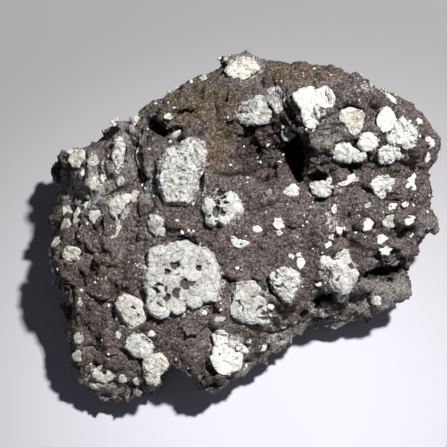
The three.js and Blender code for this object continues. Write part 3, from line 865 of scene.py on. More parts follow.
    def stained(self, face: Array, facing: Array, colour: str) -> Array:
        """Spread the patches of one colour over the broad face, with ragged edges.

        Args:
            face: places as u, v, w, shape (n, 3).
            facing: how much each point looks out of the face, -1 to 1.
            colour: the patches' colour.

        Returns:
            The strength of the colour at each point, 0 to 1.
        """
        total = np.zeros(len(face))
        ragged = rough_noise(face, 4.0, 4, 83 + len(colour))
        for stain in STAINS:
            if stain.colour == colour:
                off = (face[:, :2] - stain.centre) / stain.half
                inside = ease(1.25, 0.3, np.linalg.norm(off, axis=1) + 0.45 * ragged)
                total = np.maximum(total, stain.strength * inside)
        back = ease(0.1, 0.5, rough_noise(face, 18, 3, 87 + len(colour))) * ease(0.2, -0.2, facing)
        return np.maximum(total * ease(-0.1, 0.2, facing), 0.7 * back)


# The large crystals.


@dataclass
class RockHeights:
    """The groundmass seen from straight above the broad face: its w in square cells of u, v."""

    points: Array
    cell: float = 0.7
    reach: float = 66.0

    def __post_init__(self) -> None:
        """Keep the highest point of the rock in each cell, and of the cells beside it."""
        side = int(2 * self.reach / self.cell)
        face = FACE.inward(self.points)
        spot = np.clip(((face[:, :2] + self.reach) / self.cell).astype(int), 0, side - 1)
        grid = np.full((side, side), -50.0)
        np.maximum.at(grid, (spot[:, 0], spot[:, 1]), face[:, 2])
        around = [np.roll(grid, (i, j), axis=(0, 1)) for i in (-1, 0, 1) for j in (-1, 0, 1)]
        self.grid = np.sort(around, axis=0)[-2]

    def under(self, face: Array) -> Array:
        """The rock's w at places given as u, v, w."""
        spot = np.clip(((face[:, :2] + self.reach) / self.cell).astype(int), 0, len(self.grid) - 1)
        return self.grid[spot[:, 0], spot[:, 1]]


@dataclass(frozen=True)
class Break:
    """How leucite breaks: sizes in millimetres, and how flat, cracked and porous its top is."""

    face: float
    slope: float
    lump: float
    rough: float
    crack: float
    pore: float
    flat: float


class Habit(Enum):
    """The ways in which the crystals have broken."""

    CHALK = Break(face=3.4, slope=0.10, lump=0.08, rough=0.12, crack=0.22, pore=0.0, flat=0.7)
    CLUSTER = Break(face=2.6, slope=0.16, lump=0.25, rough=0.14, crack=0.3, pore=0.1, flat=0.45)
    SUGAR = Break(face=1.2, slope=0.30, lump=0.08, rough=0.22, crack=0.2, pore=0.45, flat=0.65)
    SPLINTER = Break(face=2.0, slope=0.24, lump=0.08, rough=0.16, crack=0.35, pore=0.15, flat=0.6)


@dataclass(frozen=True)
class Pit:
    """A hole in a crystal: its centre in u, v, its half sizes and its depth."""

    centre: Pair
    half: Pair
    depth: float


@dataclass(frozen=True)
class Crystal:
    """A leucite crystal: the CAD solid with a broken face, grains, creases and pits."""

    number: int
    habit: Habit
    finish: LeuciteFinish
    pits: tuple[Pit, ...] = ()
    lumps: tuple[Triple, ...] = ()
    swell: float = 0.25

    @property
    def node(self) -> str:
        """The name of its CAD node."""
        return f"leucite_{self.number:02d}"

    def fitted(self, points: Array) -> Array:
        """Draw the crystal out from its middle, or in, until its edge follows its outline.

        In each direction the points move by the ratio of the outline's reach to the reach of the
        crystal's upper part, so that its top fills the outline.

        Args:
            points: places in millimetres, shape (n, 3).

        Returns:
            The moved places.
        """
        face = FACE.inward(points)
        corners = np.array(OUTLINES[self.number])
        steps = np.linspace(0, 1, 9)[:-1, None]
        edge = np.concatenate([a + steps * (b - a) for a, b in zip(corners, np.roll(corners, -1, axis=0))])
        middle = edge.mean(axis=0)
        away = face[:, :2] - middle
        angle, reach = np.arctan2(away[:, 1], away[:, 0]), np.linalg.norm(away, axis=1)
        parts = 60
        upper = face[:, 2] > np.percentile(face[:, 2], 55) - 0.5
        sector = np.floor((angle / (2 * math.pi) + 0.5) * parts).astype(int) % parts
        present = np.full(parts, 0.5)
        np.maximum.at(present, sector[upper], reach[upper])
        here = (np.arange(parts) + 0.5) / parts * 2 * math.pi - math.pi
        wanted = np.arctan2(*(edge - middle).T[::-1])
        target = np.interp(angle, wanted, np.linalg.norm(edge - middle, axis=1), period=2 * math.pi)
        ratio = np.clip(target / np.interp(angle, here, present, period=2 * math.pi), 0.6, 1.6)
        face[:, :2] = middle + away * ratio[:, None]
        return FACE.outward(face)

    def levelled(self, points: Array, normals: Array) -> Array:
        """Find how far the crystal's top is from the flat that fits it best.

        The flat is a least-squares plane through the points that look out of the rock.

        Args:
            points: places in millimetres, shape (n, 3).
            normals: the surface's directions, shape (n, 3).

        Returns:
            The way to that flat for each point, as vectors, shape (n, 3).
        """
        middle = points.mean(axis=0)
        out = FACE.axes()[2] if self.number <= FACE_CRYSTALS else middle * [1, 1, 0] / np.hypot(*middle[:2])
        side = np.cross(out, [0.3, 1.0, 0.2])
        side /= np.linalg.norm(side)
        top = normals @ out > 0.6
        grid = np.stack([points @ side, points @ np.cross(out, side), np.ones(len(points))], axis=1)
        plane = np.linalg.lstsq(grid[top], points[top] @ out, rcond=None)[0]
        above = np.clip(points @ out - grid @ plane, -1.6, 1.6)
        return -(above * ease(0.3, 0.8, normals @ out))[:, None] * out

    def build(self, material: Material, rock: RockHeights) -> Piece:
        """Make the crystal.

        The CAD shape is pushed out by a little noise so that its edge turns irregular, broken into
        faces, cracked along winding lines, and sunk at its pores and pits.

        Args:
            material: its finish.
            rock: the finished groundmass, above which the crystal's top is held.

        Returns:
            The piece, standing for the CAD solid.
        """
        low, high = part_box(self.node)
        across = float(max(high - low)) / MM
        mesh = fine_copy(self.node, float(np.clip(across / 56, 0.13, 0.27)))
        points, normals = read_mesh(mesh)
        if self.number in OUTLINES:
            points = self.fitted(points)
        face = FACE.inward(points)
        style: Break = self.habit.value
        seed = 100 + 17 * self.number
        faces, _ = broken_faces(points, style.face, style.slope, seed)
        _, number, offset = grains(points, 0.3 * across + 1.0, seed + 3)
        dome = 1 - np.sum(offset**2, axis=1) / (0.3 * across + 1.0) ** 2
        loose = 0.012 if self.number in OUTLINES else 0.04
        shift = self.swell + loose * across * rough_noise(points, 0.26 * across + 1, 3, seed + 5)
        shift += faces + style.lump * (dome - 0.6) + style.rough * rough_noise(points, 0.8, 3, seed + 6)

        vein = np.abs(rough_noise(points, 0.22 * across + 1.5, 3, seed + 8))
        some = ease(-0.1, 0.35, rough_noise(points, 0.4 * across, 2, seed + 9))
        crease = (1 - ease(0.0, 0.07, vein)) * some
        pores = ease(-0.25, -0.55, rough_noise(points, 1.1, 2, seed + 11)) * style.pore
        shift -= style.crack * crease + 0.45 * pores
        pit, sink, bloom = 0.6 * pores, np.zeros(len(points)), np.zeros(len(points))
        wander = face[:, :2]
        for push, pitch, layers, first in ((0.4, 1.0, 3, 12), (0.8, 2.6, 2, 20)):
            noise = [rough_noise(points, pitch, layers, seed + first + k) for k in (0, 4)]
            wander = wander + push * np.stack(noise, axis=1)
        for hole in self.pits:
            off = np.linalg.norm((wander - hole.centre) / hole.half, axis=1)
            inside = ease(1.15, 0.7, off) * ease(0.0, 0.3, normals @ FACE.axes()[2])
            sink = np.maximum(sink, hole.depth * inside)
            pit = np.maximum(pit, inside)
        for u, v, radius in self.lumps:
            off = np.linalg.norm(wander - [u, v], axis=1) / radius
            shift += 0.22 * np.clip(1 - off**4, 0, 1)
            bloom = np.maximum(bloom, ease(1.0, 0.7, off))
            crease = np.maximum(crease, 0.6 * ease(0.9, 1.0, off) * ease(1.14, 1.04, off))
        moved = points + normals * shift[:, None] + style.flat * self.levelled(points, normals)
        if self.number in OUTLINES:
            placed = FACE.inward(moved)
            top = ease(0.1, 0.5, normals @ FACE.axes()[2])
            buried = np.clip(rock.under(placed) + 0.15 + 0.3 * (shift - self.swell) - placed[:, 2], 0, 2.4)
            moved += (top * buried)[:, None] * FACE.axes()[2]
        moved -= FACE.axes()[2] * sink[:, None]
        write_points(mesh, inside_cad_box(moved))
        write_attribute(mesh, "crease", crease)
        write_attribute(mesh, "pit", pit)
        write_attribute(mesh, "bloom", bloom)
        piece = set_on_body(f"{self.node}_grown", mesh, material)
        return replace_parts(piece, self.node)


# The crystals' outlines on the broad face, in u, v.
OUTLINES = {
    1: (
        (-26.7, -6.1), (-24.2, -5.1), (-21.1, -4.8), (-16.8, -4.1), (-15.0, -5.4), (-11.6, -6.1),
        (-9.1, -7.8), (-8.1, -10.0), (-6.9, -12.2), (-6.5, -14.8), (-6.6, -16.9), (-7.2, -19.5),
        (-8.1, -22.1), (-10.7, -22.3), (-12.2, -22.0), (-12.6, -23.4), (-15.0, -24.0), (-16.8, -23.4),
        (-17.1, -25.2), (-19.4, -25.9), (-21.2, -25.3), (-22.4, -26.5), (-24.8, -27.3), (-27.6, -25.6),
        (-29.3, -23.2), (-28.7, -20.4), (-30.0, -18.2), (-30.1, -15.2), (-29.4, -12.2), (-28.5, -9.5),
        (-28.1, -7.2),
    ),
    2: (
        (-19.1, 24.5), (-17.6, 25.7), (-15.5, 26.3), (-13.1, 25.7), (-11.3, 25.4), (-10.7, 22.4),
        (-11.0, 18.5), (-12.2, 15.5), (-13.4, 13.7), (-13.4, 11.0), (-14.6, 9.2), (-15.5, 7.7),
        (-16.7, 6.2), (-19.1, 6.5), (-21.2, 6.5), (-23.3, 6.2), (-23.9, 8.6), (-24.8, 11.0), (-25.7, 14.0),
        (-25.1, 16.4), (-25.4, 18.5), (-24.2, 20.6), (-23.3, 22.7), (-21.5, 23.3),
    ),
    3: (
        (-11.9, 7.1), (-10.7, 8.6), (-9.5, 8.3), (-8.9, 7.7), (-7.4, 8.0), (-6.5, 8.6), (-5.6, 9.5),
        (-4.1, 10.1), (-2.6, 9.5), (-1.7, 8.3), (-1.7, 7.1), (-0.8, 6.2), (-0.2, 5.0), (-0.8, 3.5),
        (-2.0, 2.9), (-2.6, 2.0), (-3.8, 1.7), (-4.4, 0.5), (-5.9, 0.2), (-7.1, 1.1), (-7.7, 1.4),
        (-8.3, 0.2), (-9.2, -0.2), (-10.4, 0.5), (-11.3, 2.0), (-11.6, 3.5), (-12.2, 5.0),
    ),
    4: (
        (-2.3, -16.4), (-0.8, -15.8), (0.5, -16.7), (1.7, -15.8), (3.2, -16.4), (3.8, -17.6), (5.0, -18.5),
        (4.7, -20.0), (5.9, -21.2), (6.8, -23.3), (6.5, -25.4), (7.4, -27.2), (7.4, -28.4), (5.6, -29.0),
        (3.8, -28.4), (2.0, -28.7), (-0.2, -28.1), (-1.7, -28.1), (-2.9, -26.9), (-3.8, -25.4),
        (-4.1, -23.9), (-3.2, -22.4), (-2.9, -20.3), (-2.6, -18.5),
    ),
    5: (
        (9.5, -13.4), (11.3, -11.9), (13.4, -12.5), (14.6, -12.8), (16.4, -14.0), (16.1, -16.1),
        (15.2, -17.6), (14.9, -19.1), (14.3, -20.9), (13.4, -22.1), (11.9, -21.8), (11.0, -20.6),
        (9.8, -19.4), (8.6, -17.9), (8.0, -16.4), (7.7, -14.9), (8.3, -13.7),
    ),
    6: (
        (-37.8, -23.0), (-36.8, -21.2), (-35.3, -20.3), (-33.8, -20.6), (-32.3, -21.2), (-30.8, -21.8),
        (-29.6, -23.3), (-28.7, -25.1), (-28.7, -26.9), (-29.9, -28.1), (-31.4, -29.0), (-32.6, -29.9),
        (-34.1, -29.0), (-35.6, -27.5), (-36.5, -25.7), (-37.4, -24.2),
    ),
    7: (
        (-9.5, -32.0), (-8.6, -31.1), (-6.5, -30.8), (-4.7, -31.7), (-4.1, -32.6), (-4.4, -33.5),
        (-3.2, -33.8), (-1.1, -34.1), (-0.2, -35.0), (0.8, -35.9), (1.4, -37.1), (-0.2, -37.8),
        (-0.5, -38.7), (-0.5, -40.2), (-1.1, -41.7), (-2.6, -42.9), (-4.7, -43.6), (-6.8, -43.5),
        (-8.3, -42.3), (-9.2, -40.5), (-9.8, -38.7), (-9.2, -36.8), (-8.6, -35.3), (-8.9, -33.8),
    ),
    8: (
        (27.8, -8.3), (29.0, -6.8), (30.5, -7.1), (31.1, -9.2), (32.0, -11.0), (32.9, -12.5), (33.5, -13.7),
        (32.6, -15.8), (31.4, -17.6), (29.9, -19.1), (27.2, -19.7), (24.8, -20.0), (23.3, -19.7),
        (24.0, -18.3), (25.2, -16.9), (25.8, -15.5), (25.9, -13.9), (26.0, -12.4), (26.4, -10.8),
        (27.0, -9.4),
    ),
    9: (
        (14.6, 38.7), (15.8, 39.6), (17.6, 40.2), (19.4, 40.5), (21.2, 39.9), (22.4, 40.5), (23.6, 41.1),
        (24.8, 40.8), (25.7, 39.6), (26.3, 38.1), (26.0, 36.2), (24.8, 35.0), (23.3, 34.1), (22.4, 32.9),
        (22.1, 31.4), (21.2, 29.9), (20.3, 29.0), (18.8, 29.6), (17.9, 30.8), (17.3, 32.6), (17.0, 34.1),
        (16.1, 35.6), (15.2, 37.1),
    ),
    10: (
        (44.1, 31.1), (45.9, 31.7), (47.1, 32.6), (48.3, 30.8), (49.5, 29.9), (50.7, 28.7), (51.3, 27.2),
        (51.0, 25.1), (49.8, 24.2), (49.2, 23.0), (48.0, 22.7), (46.5, 23.6), (44.4, 23.9), (42.6, 24.8),
        (42.0, 26.3), (43.5, 27.8), (43.8, 29.3),
    ),
    11: (
        (39.9, 32.6), (40.5, 34.4), (41.7, 35.0), (43.2, 34.7), (44.1, 33.2), (44.7, 31.7), (45.0, 30.2),
        (43.8, 29.0), (42.3, 28.4), (41.1, 28.4), (39.9, 29.6), (39.3, 30.8),
    ),
    12: (
        (28.1, 32.6), (29.0, 34.1), (30.8, 34.7), (32.6, 34.7), (34.4, 33.8), (35.3, 32.9), (35.0, 31.4),
        (34.7, 29.3), (33.8, 28.1), (32.6, 26.9), (31.4, 27.5), (30.5, 29.0), (29.6, 30.2), (28.4, 31.4),
    ),
    13: (
        (1.1, 35.3), (2.0, 37.1), (3.5, 38.4), (5.3, 39.0), (6.5, 38.1), (7.1, 36.2), (7.7, 34.4),
        (8.0, 32.6), (6.8, 30.5), (5.3, 30.2), (3.5, 30.2), (1.4, 30.2), (-1.1, 30.8), (-1.1, 32.9),
        (-0.2, 34.1),
    ),
    14: (
        (6.8, 40.5), (8.0, 41.4), (10.1, 41.1), (11.3, 40.2), (12.2, 38.4), (11.6, 37.1), (11.0, 36.2),
        (11.3, 34.4), (10.7, 33.2), (9.2, 33.8), (8.6, 35.6), (7.4, 36.8), (6.2, 37.8), (5.9, 39.3),
    ),
    15: (
        (-5.3, 47.4), (-4.1, 48.9), (-2.3, 50.4), (-0.2, 51.0), (2.0, 50.7), (3.5, 49.5), (5.0, 47.7),
        (3.8, 46.2), (2.3, 45.3), (0.8, 44.4), (-1.1, 43.8), (-3.2, 44.1), (-4.7, 45.3), (-5.6, 46.5),
    ),
    16: (
        (-29.3, -39.6), (-28.1, -38.1), (-26.3, -37.8), (-24.2, -37.4), (-22.7, -39.0), (-22.1, -40.8),
        (-23.3, -42.6), (-24.8, -44.4), (-25.1, -46.8), (-26.9, -47.1), (-28.7, -46.2), (-29.6, -43.8),
        (-29.9, -41.4),
    ),
    17: (
        (-33.8, -32.9), (-32.3, -31.7), (-30.2, -31.7), (-28.4, -32.9), (-27.2, -34.7), (-26.3, -36.5),
        (-26.3, -37.8), (-28.1, -38.1), (-29.6, -38.7), (-31.7, -38.1), (-33.5, -36.8), (-35.0, -35.6),
        (-34.4, -34.1),
    ),
    19: (
        (26.9, 21.8), (27.5, 23.3), (29.0, 24.2), (30.5, 23.9), (31.4, 23.0), (32.6, 22.4), (34.1, 21.8),
        (35.3, 22.1), (35.3, 20.6), (34.1, 19.4), (32.3, 19.7), (31.7, 18.8), (30.2, 19.1), (29.3, 20.0),
        (27.8, 20.0), (26.6, 20.6),
    ),
    20: (
        (33.8, 24.2), (34.4, 25.7), (35.3, 26.9), (36.8, 27.2), (38.4, 26.3), (39.0, 25.1), (38.4, 23.3),
        (37.1, 22.4), (35.6, 22.4), (34.4, 23.3),
    ),
    21: (
        (39.9, 22.4), (41.1, 23.3), (42.6, 24.5), (44.4, 23.9), (45.6, 23.3), (46.2, 21.8), (45.9, 20.0),
        (44.4, 19.4), (42.6, 18.8), (40.5, 18.5), (39.9, 20.0),
    ),
    22: (
        (37.4, 12.5), (38.1, 13.7), (39.6, 14.6), (41.1, 14.9), (42.3, 15.5), (43.5, 14.3), (44.7, 14.0),
        (44.4, 13.1), (43.8, 11.6), (43.5, 10.4), (42.3, 9.8), (42.0, 8.6), (40.5, 8.3), (39.3, 9.2),
        (38.4, 10.4), (37.8, 11.3),
    ),
    25: (
        (-40.2, 6.2), (-39.3, 7.7), (-37.8, 8.6), (-35.9, 9.5), (-34.1, 9.8), (-33.2, 8.9),
        (-34.1, 7.1), (-35.9, 6.2), (-37.1, 4.7), (-37.8, 2.6), (-39.0, 2.9), (-39.9, 4.4),
    ),
}

# The crystals up to this number are on the broad face; the rest are round the sides and the back.
FACE_CRYSTALS = 29
CRYSTALS = (
    Crystal(1, Habit.CHALK, RUSTED, (
        Pit((-17.7, -17.0), (1.6, 1.6), 0.8),
        Pit((-14.9, -16.4), (2.0, 0.8), 0.8),
        Pit((-19.7, -19.4), (1.5, 1.4), 0.8),
        Pit((-24.8, -17.0), (1.3, 0.6), 1.0),
        Pit((-23.0, -18.5), (0.6, 1.4), 0.9),
        Pit((-22.4, -20.9), (1.2, 1.2), 0.9),
        Pit((-25.6, -18.8), (0.4, 1.2), 0.8),
        Pit((-24.2, -23.3), (1.4, 0.4), 0.8),
        Pit((-19.1, -14.2), (1.0, 0.3), 0.6),
        Pit((-19.9, -11.3), (1.6, 0.8), 1.3),
        Pit((-22.3, -13.1), (0.7, 0.8), 1.2),
        Pit((-13.6, -12.2), (1.0, 1.1), 1.3),
    ), lumps=((-10.4, -19.1, 2.9), (-14.9, -21.8, 2.1), (-19.4, -24.2, 2.0), (-24.8, -24.2, 3.3))),
    Crystal(2, Habit.SUGAR, SUGARY, (
        Pit((-17.0, 19.8), (0.8, 0.8), 0.3),
        Pit((-17.4, 17.2), (0.8, 0.5), 0.3),
        Pit((-18.9, 14.0), (0.7, 0.3), 0.3),
    )),
    Crystal(3, Habit.CHALK, WHITE, (
        Pit((-7.8, 6.6), (1.1, 1.3), 1.4),
        Pit((-8.0, 4.2), (1.0, 1.1), 1.4),
        Pit((-5.9, 4.1), (1.1, 0.9), 1.3),
        Pit((-5.1, 6.3), (0.6, 0.5), 1.0),
        Pit((-5.7, 8.0), (1.2, 0.5), 1.2),
        Pit((-8.0, 8.6), (1.6, 0.8), 1.6),
        Pit((-9.8, 3.2), (0.5, 0.3), 0.8),
        Pit((-7.5, 1.6), (0.4, 0.7), 1.0),
    ), lumps=((-10.4, 6.6, 1.6), (-3.4, 8.4, 2.1), (-2.0, 5.2, 1.8), (-9.3, 1.6, 1.8), (-5.6, 1.7, 1.8))),
    Crystal(4, Habit.SPLINTER, RUSTED, (
        Pit((5.0, -24.2), (1.3, 0.4), 0.6),
        Pit((5.7, -25.3), (0.8, 0.4), 0.6),
        Pit((5.4, -26.8), (1.6, 0.5), 0.6),
        Pit((-1.4, -22.4), (0.25, 1.2), 0.3),
        Pit((-0.8, -24.4), (0.25, 1.2), 0.3),
    )),
    Crystal(5, Habit.SUGAR, SPONGY, (
        Pit((9.9, -14.4), (0.35, 1.0), 0.5),
        Pit((10.8, -17.1), (1.4, 0.5), 0.6),
        Pit((9.2, -18.2), (0.5, 0.5), 0.5),
    ), swell=0.5),
    Crystal(6, Habit.CHALK, CREAM, (
        Pit((-32.5, -24.1), (0.9, 0.6), 0.5),
        Pit((-31.0, -26.0), (0.4, 0.8), 0.5),
    ), swell=0.5),
    Crystal(7, Habit.CHALK, BRIGHT, (Pit((-7.0, -37.9), (0.4, 0.4), 0.5),), lumps=((-6.4, -32.2, 2.1),)),
    Crystal(8, Habit.CHALK, CLEAN, (
        Pit((30.8, -11.9), (0.9, 1.3), 0.4),
        Pit((27.4, -15.2), (0.5, 0.9), 0.5),
    ), swell=0.6),
    Crystal(9, Habit.CHALK, BRIGHT, swell=0.55),
    Crystal(10, Habit.SUGAR, SPONGY),
    Crystal(11, Habit.CHALK, BRIGHT, swell=0.6),
    Crystal(12, Habit.CHALK, CREAM, swell=0.5),
    Crystal(13, Habit.SPLINTER, CLOUDY),
    Crystal(14, Habit.SPLINTER, CLOUDY),
    Crystal(15, Habit.CHALK, CREAM, (Pit((1.4, 47.4), (0.35, 0.35), 0.4),)),
    Crystal(16, Habit.SPLINTER, CREAM),
    Crystal(17, Habit.CLUSTER, CLEAN, swell=0.6),
    Crystal(18, Habit.CHALK, CREAM, (Pit((-41.5, -43.6), (1.0, 0.8), 0.9),)),
    Crystal(19, Habit.CLUSTER, CLEAN, swell=0.8),
    Crystal(20, Habit.CHALK, BRIGHT, swell=0.8),
    Crystal(21, Habit.SUGAR, SPONGY, swell=0.5),
    Crystal(22, Habit.SUGAR, SPONGY),
    Crystal(23, Habit.SPLINTER, WHITE),
    Crystal(24, Habit.CHALK, CREAM),
    Crystal(25, Habit.CHALK, CREAM),
    Crystal(26, Habit.SPLINTER, SUGARY),
    Crystal(27, Habit.SPLINTER, CLOUDY),
    Crystal(28, Habit.SUGAR, CREAM),
    Crystal(29, Habit.CHALK, WHITE),
    Crystal(30, Habit.CLUSTER, WHITE),
    Crystal(31, Habit.CHALK, CREAM),
    Crystal(32, Habit.SUGAR, WHITE),
    Crystal(33, Habit.CHALK, WHITE),
    Crystal(34, Habit.CLUSTER, CREAM),
    Crystal(35, Habit.CHALK, WHITE),
)


# The small crystals.

SMALL_WHITE = (
    # u, v, half width, half height, turn in degrees
    (24.2, -10.2, 1.8, 2.2, 10), (55.2, 24.8, 1.7, 1.8, 0), (55.4, 20.8, 0.9, 1.6, -8),
    (49.8, 14.9, 2.1, 1.8, 0), (49.8, 11.9, 1.7, 1.4, 0), (14.0, 10.4, 2.6, 1.7, 8),
    (10.1, 0.8, 1.6, 1.7, 0), (10.4, -1.9, 0.9, 0.8, 0), (-1.4, -4.9, 2.4, 1.5, -12),
    (-3.2, -3.4, 0.9, 0.7, 0), (3.8, -0.8, 1.4, 1.1, 0), (-17.0, -1.7, 1.8, 1.1, -20),
    (30.5, 13.6, 2.8, 1.3, 22), (36.5, 0.5, 2.0, 1.8, 0), (43.8, 5.9, 1.9, 1.0, 18),
    (48.0, 6.5, 1.2, 0.8, 0), (49.2, 2.0, 2.3, 1.4, 25), (26.6, 5.2, 0.9, 1.5, 0),
    (28.1, -0.6, 1.1, 1.9, -15), (26.0, -3.0, 1.4, 0.9, 20), (24.8, -5.6, 1.1, 1.8, 0),
    (41.0, -3.8, 1.8, 1.6, 0), (42.0, -7.2, 1.9, 1.4, 10), (29.0, -21.2, 1.3, 1.4, 0),
    (39.9, -22.4, 1.6, 1.5, 0), (-27.2, -31.6, 1.1, 0.9, 0), (16.7, -10.7, 1.2, 1.7, 0),
    (14.0, -8.9, 0.9, 0.9, 0), (16.1, -8.4, 0.8, 0.8, 0), (-22.4, 32.6, 1.3, 1.0, 0),
    (-7.4, -27.2, 1.8, 0.9, 12), (11.9, -29.3, 1.2, 1.1, 0), (5.6, -36.2, 1.2, 1.0, 0),
    (1.4, -33.8, 0.9, 0.8, 0), (36.5, 42.6, 1.9, 0.9, -40), (44.4, 38.4, 2.2, 0.9, -42),
    (-40.4, -15.4, 0.9, 0.8, 0), (-2.0, -12.2, 0.6, 0.5, 0), (-11.6, -25.4, 0.9, 0.7, 0),
    (20.4, 28.4, 0.6, 0.6, 0), (48.6, 24.4, 2.2, 1.5, 0), (52.0, 31.2, 1.0, 1.0, 0),
    (8.0, -23.6, 1.0, 0.9, 0), (22.0, -17.0, 1.0, 0.7, 0),
)
SMALL_CREAM = (
    (-52.2, 22.8, 1.5, 1.0, 0), (-45.0, 19.7, 1.8, 2.0, 0), (-41.4, 15.2, 1.5, 2.4, -8),
    (-44.7, 12.8, 1.5, 1.8, 0), (-52.2, 9.2, 1.5, 2.7, -6), (-53.1, 4.7, 1.8, 1.9, 0),
    (-53.5, 0.5, 2.2, 2.0, 0), (-49.8, 3.0, 1.4, 2.6, -6), (-44.1, 2.9, 2.0, 2.1, 0),
    (-32.0, 8.8, 1.8, 2.0, 0), (-38.0, -1.1, 1.4, 3.0, -28), (-56.2, -4.7, 1.8, 1.9, 0),
    (-55.8, 8.0, 0.9, 2.3, 0), (-47.0, 6.2, 0.9, 1.5, 0), (-48.0, 16.0, 0.9, 1.2, 0),
    (-31.4, -45.4, 1.5, 2.0, 0), (-36.0, -45.3, 1.4, 1.3, 0), (-49.0, -33.2, 1.6, 1.8, 0),
    (-49.4, -38.4, 1.6, 1.8, 0), (-44.8, -47.8, 1.3, 0.8, 0), (-55.6, 16.1, 1.1, 1.5, 0),
    (-13.1, 44.2, 2.3, 1.2, 28), (-4.6, 50.6, 1.5, 1.1, 20), (-48.6, -22.7, 0.9, 0.9, 0),
    (-37.1, -32.0, 0.9, 1.2, 0), (-39.6, 31.2, 1.2, 1.8, 0), (-33.6, 29.0, 0.8, 1.4, 0),
    (-52.8, -23.0, 0.6, 0.8, 0),
)
SMALL_CLOUDY = (
    (13.1, 27.8, 2.0, 2.4, 0), (-30.6, 20.4, 1.6, 3.0, 8), (-36.6, 13.4, 1.1, 1.5, 0),
    (7.4, 9.6, 0.9, 1.5, 0), (-34.6, 4.6, 1.2, 1.0, 0), (32.6, 13.9, 1.4, 0.8, 20),
    (36.8, 6.2, 1.4, 0.8, 10), (-47.4, 9.4, 1.0, 1.3, 0),
)


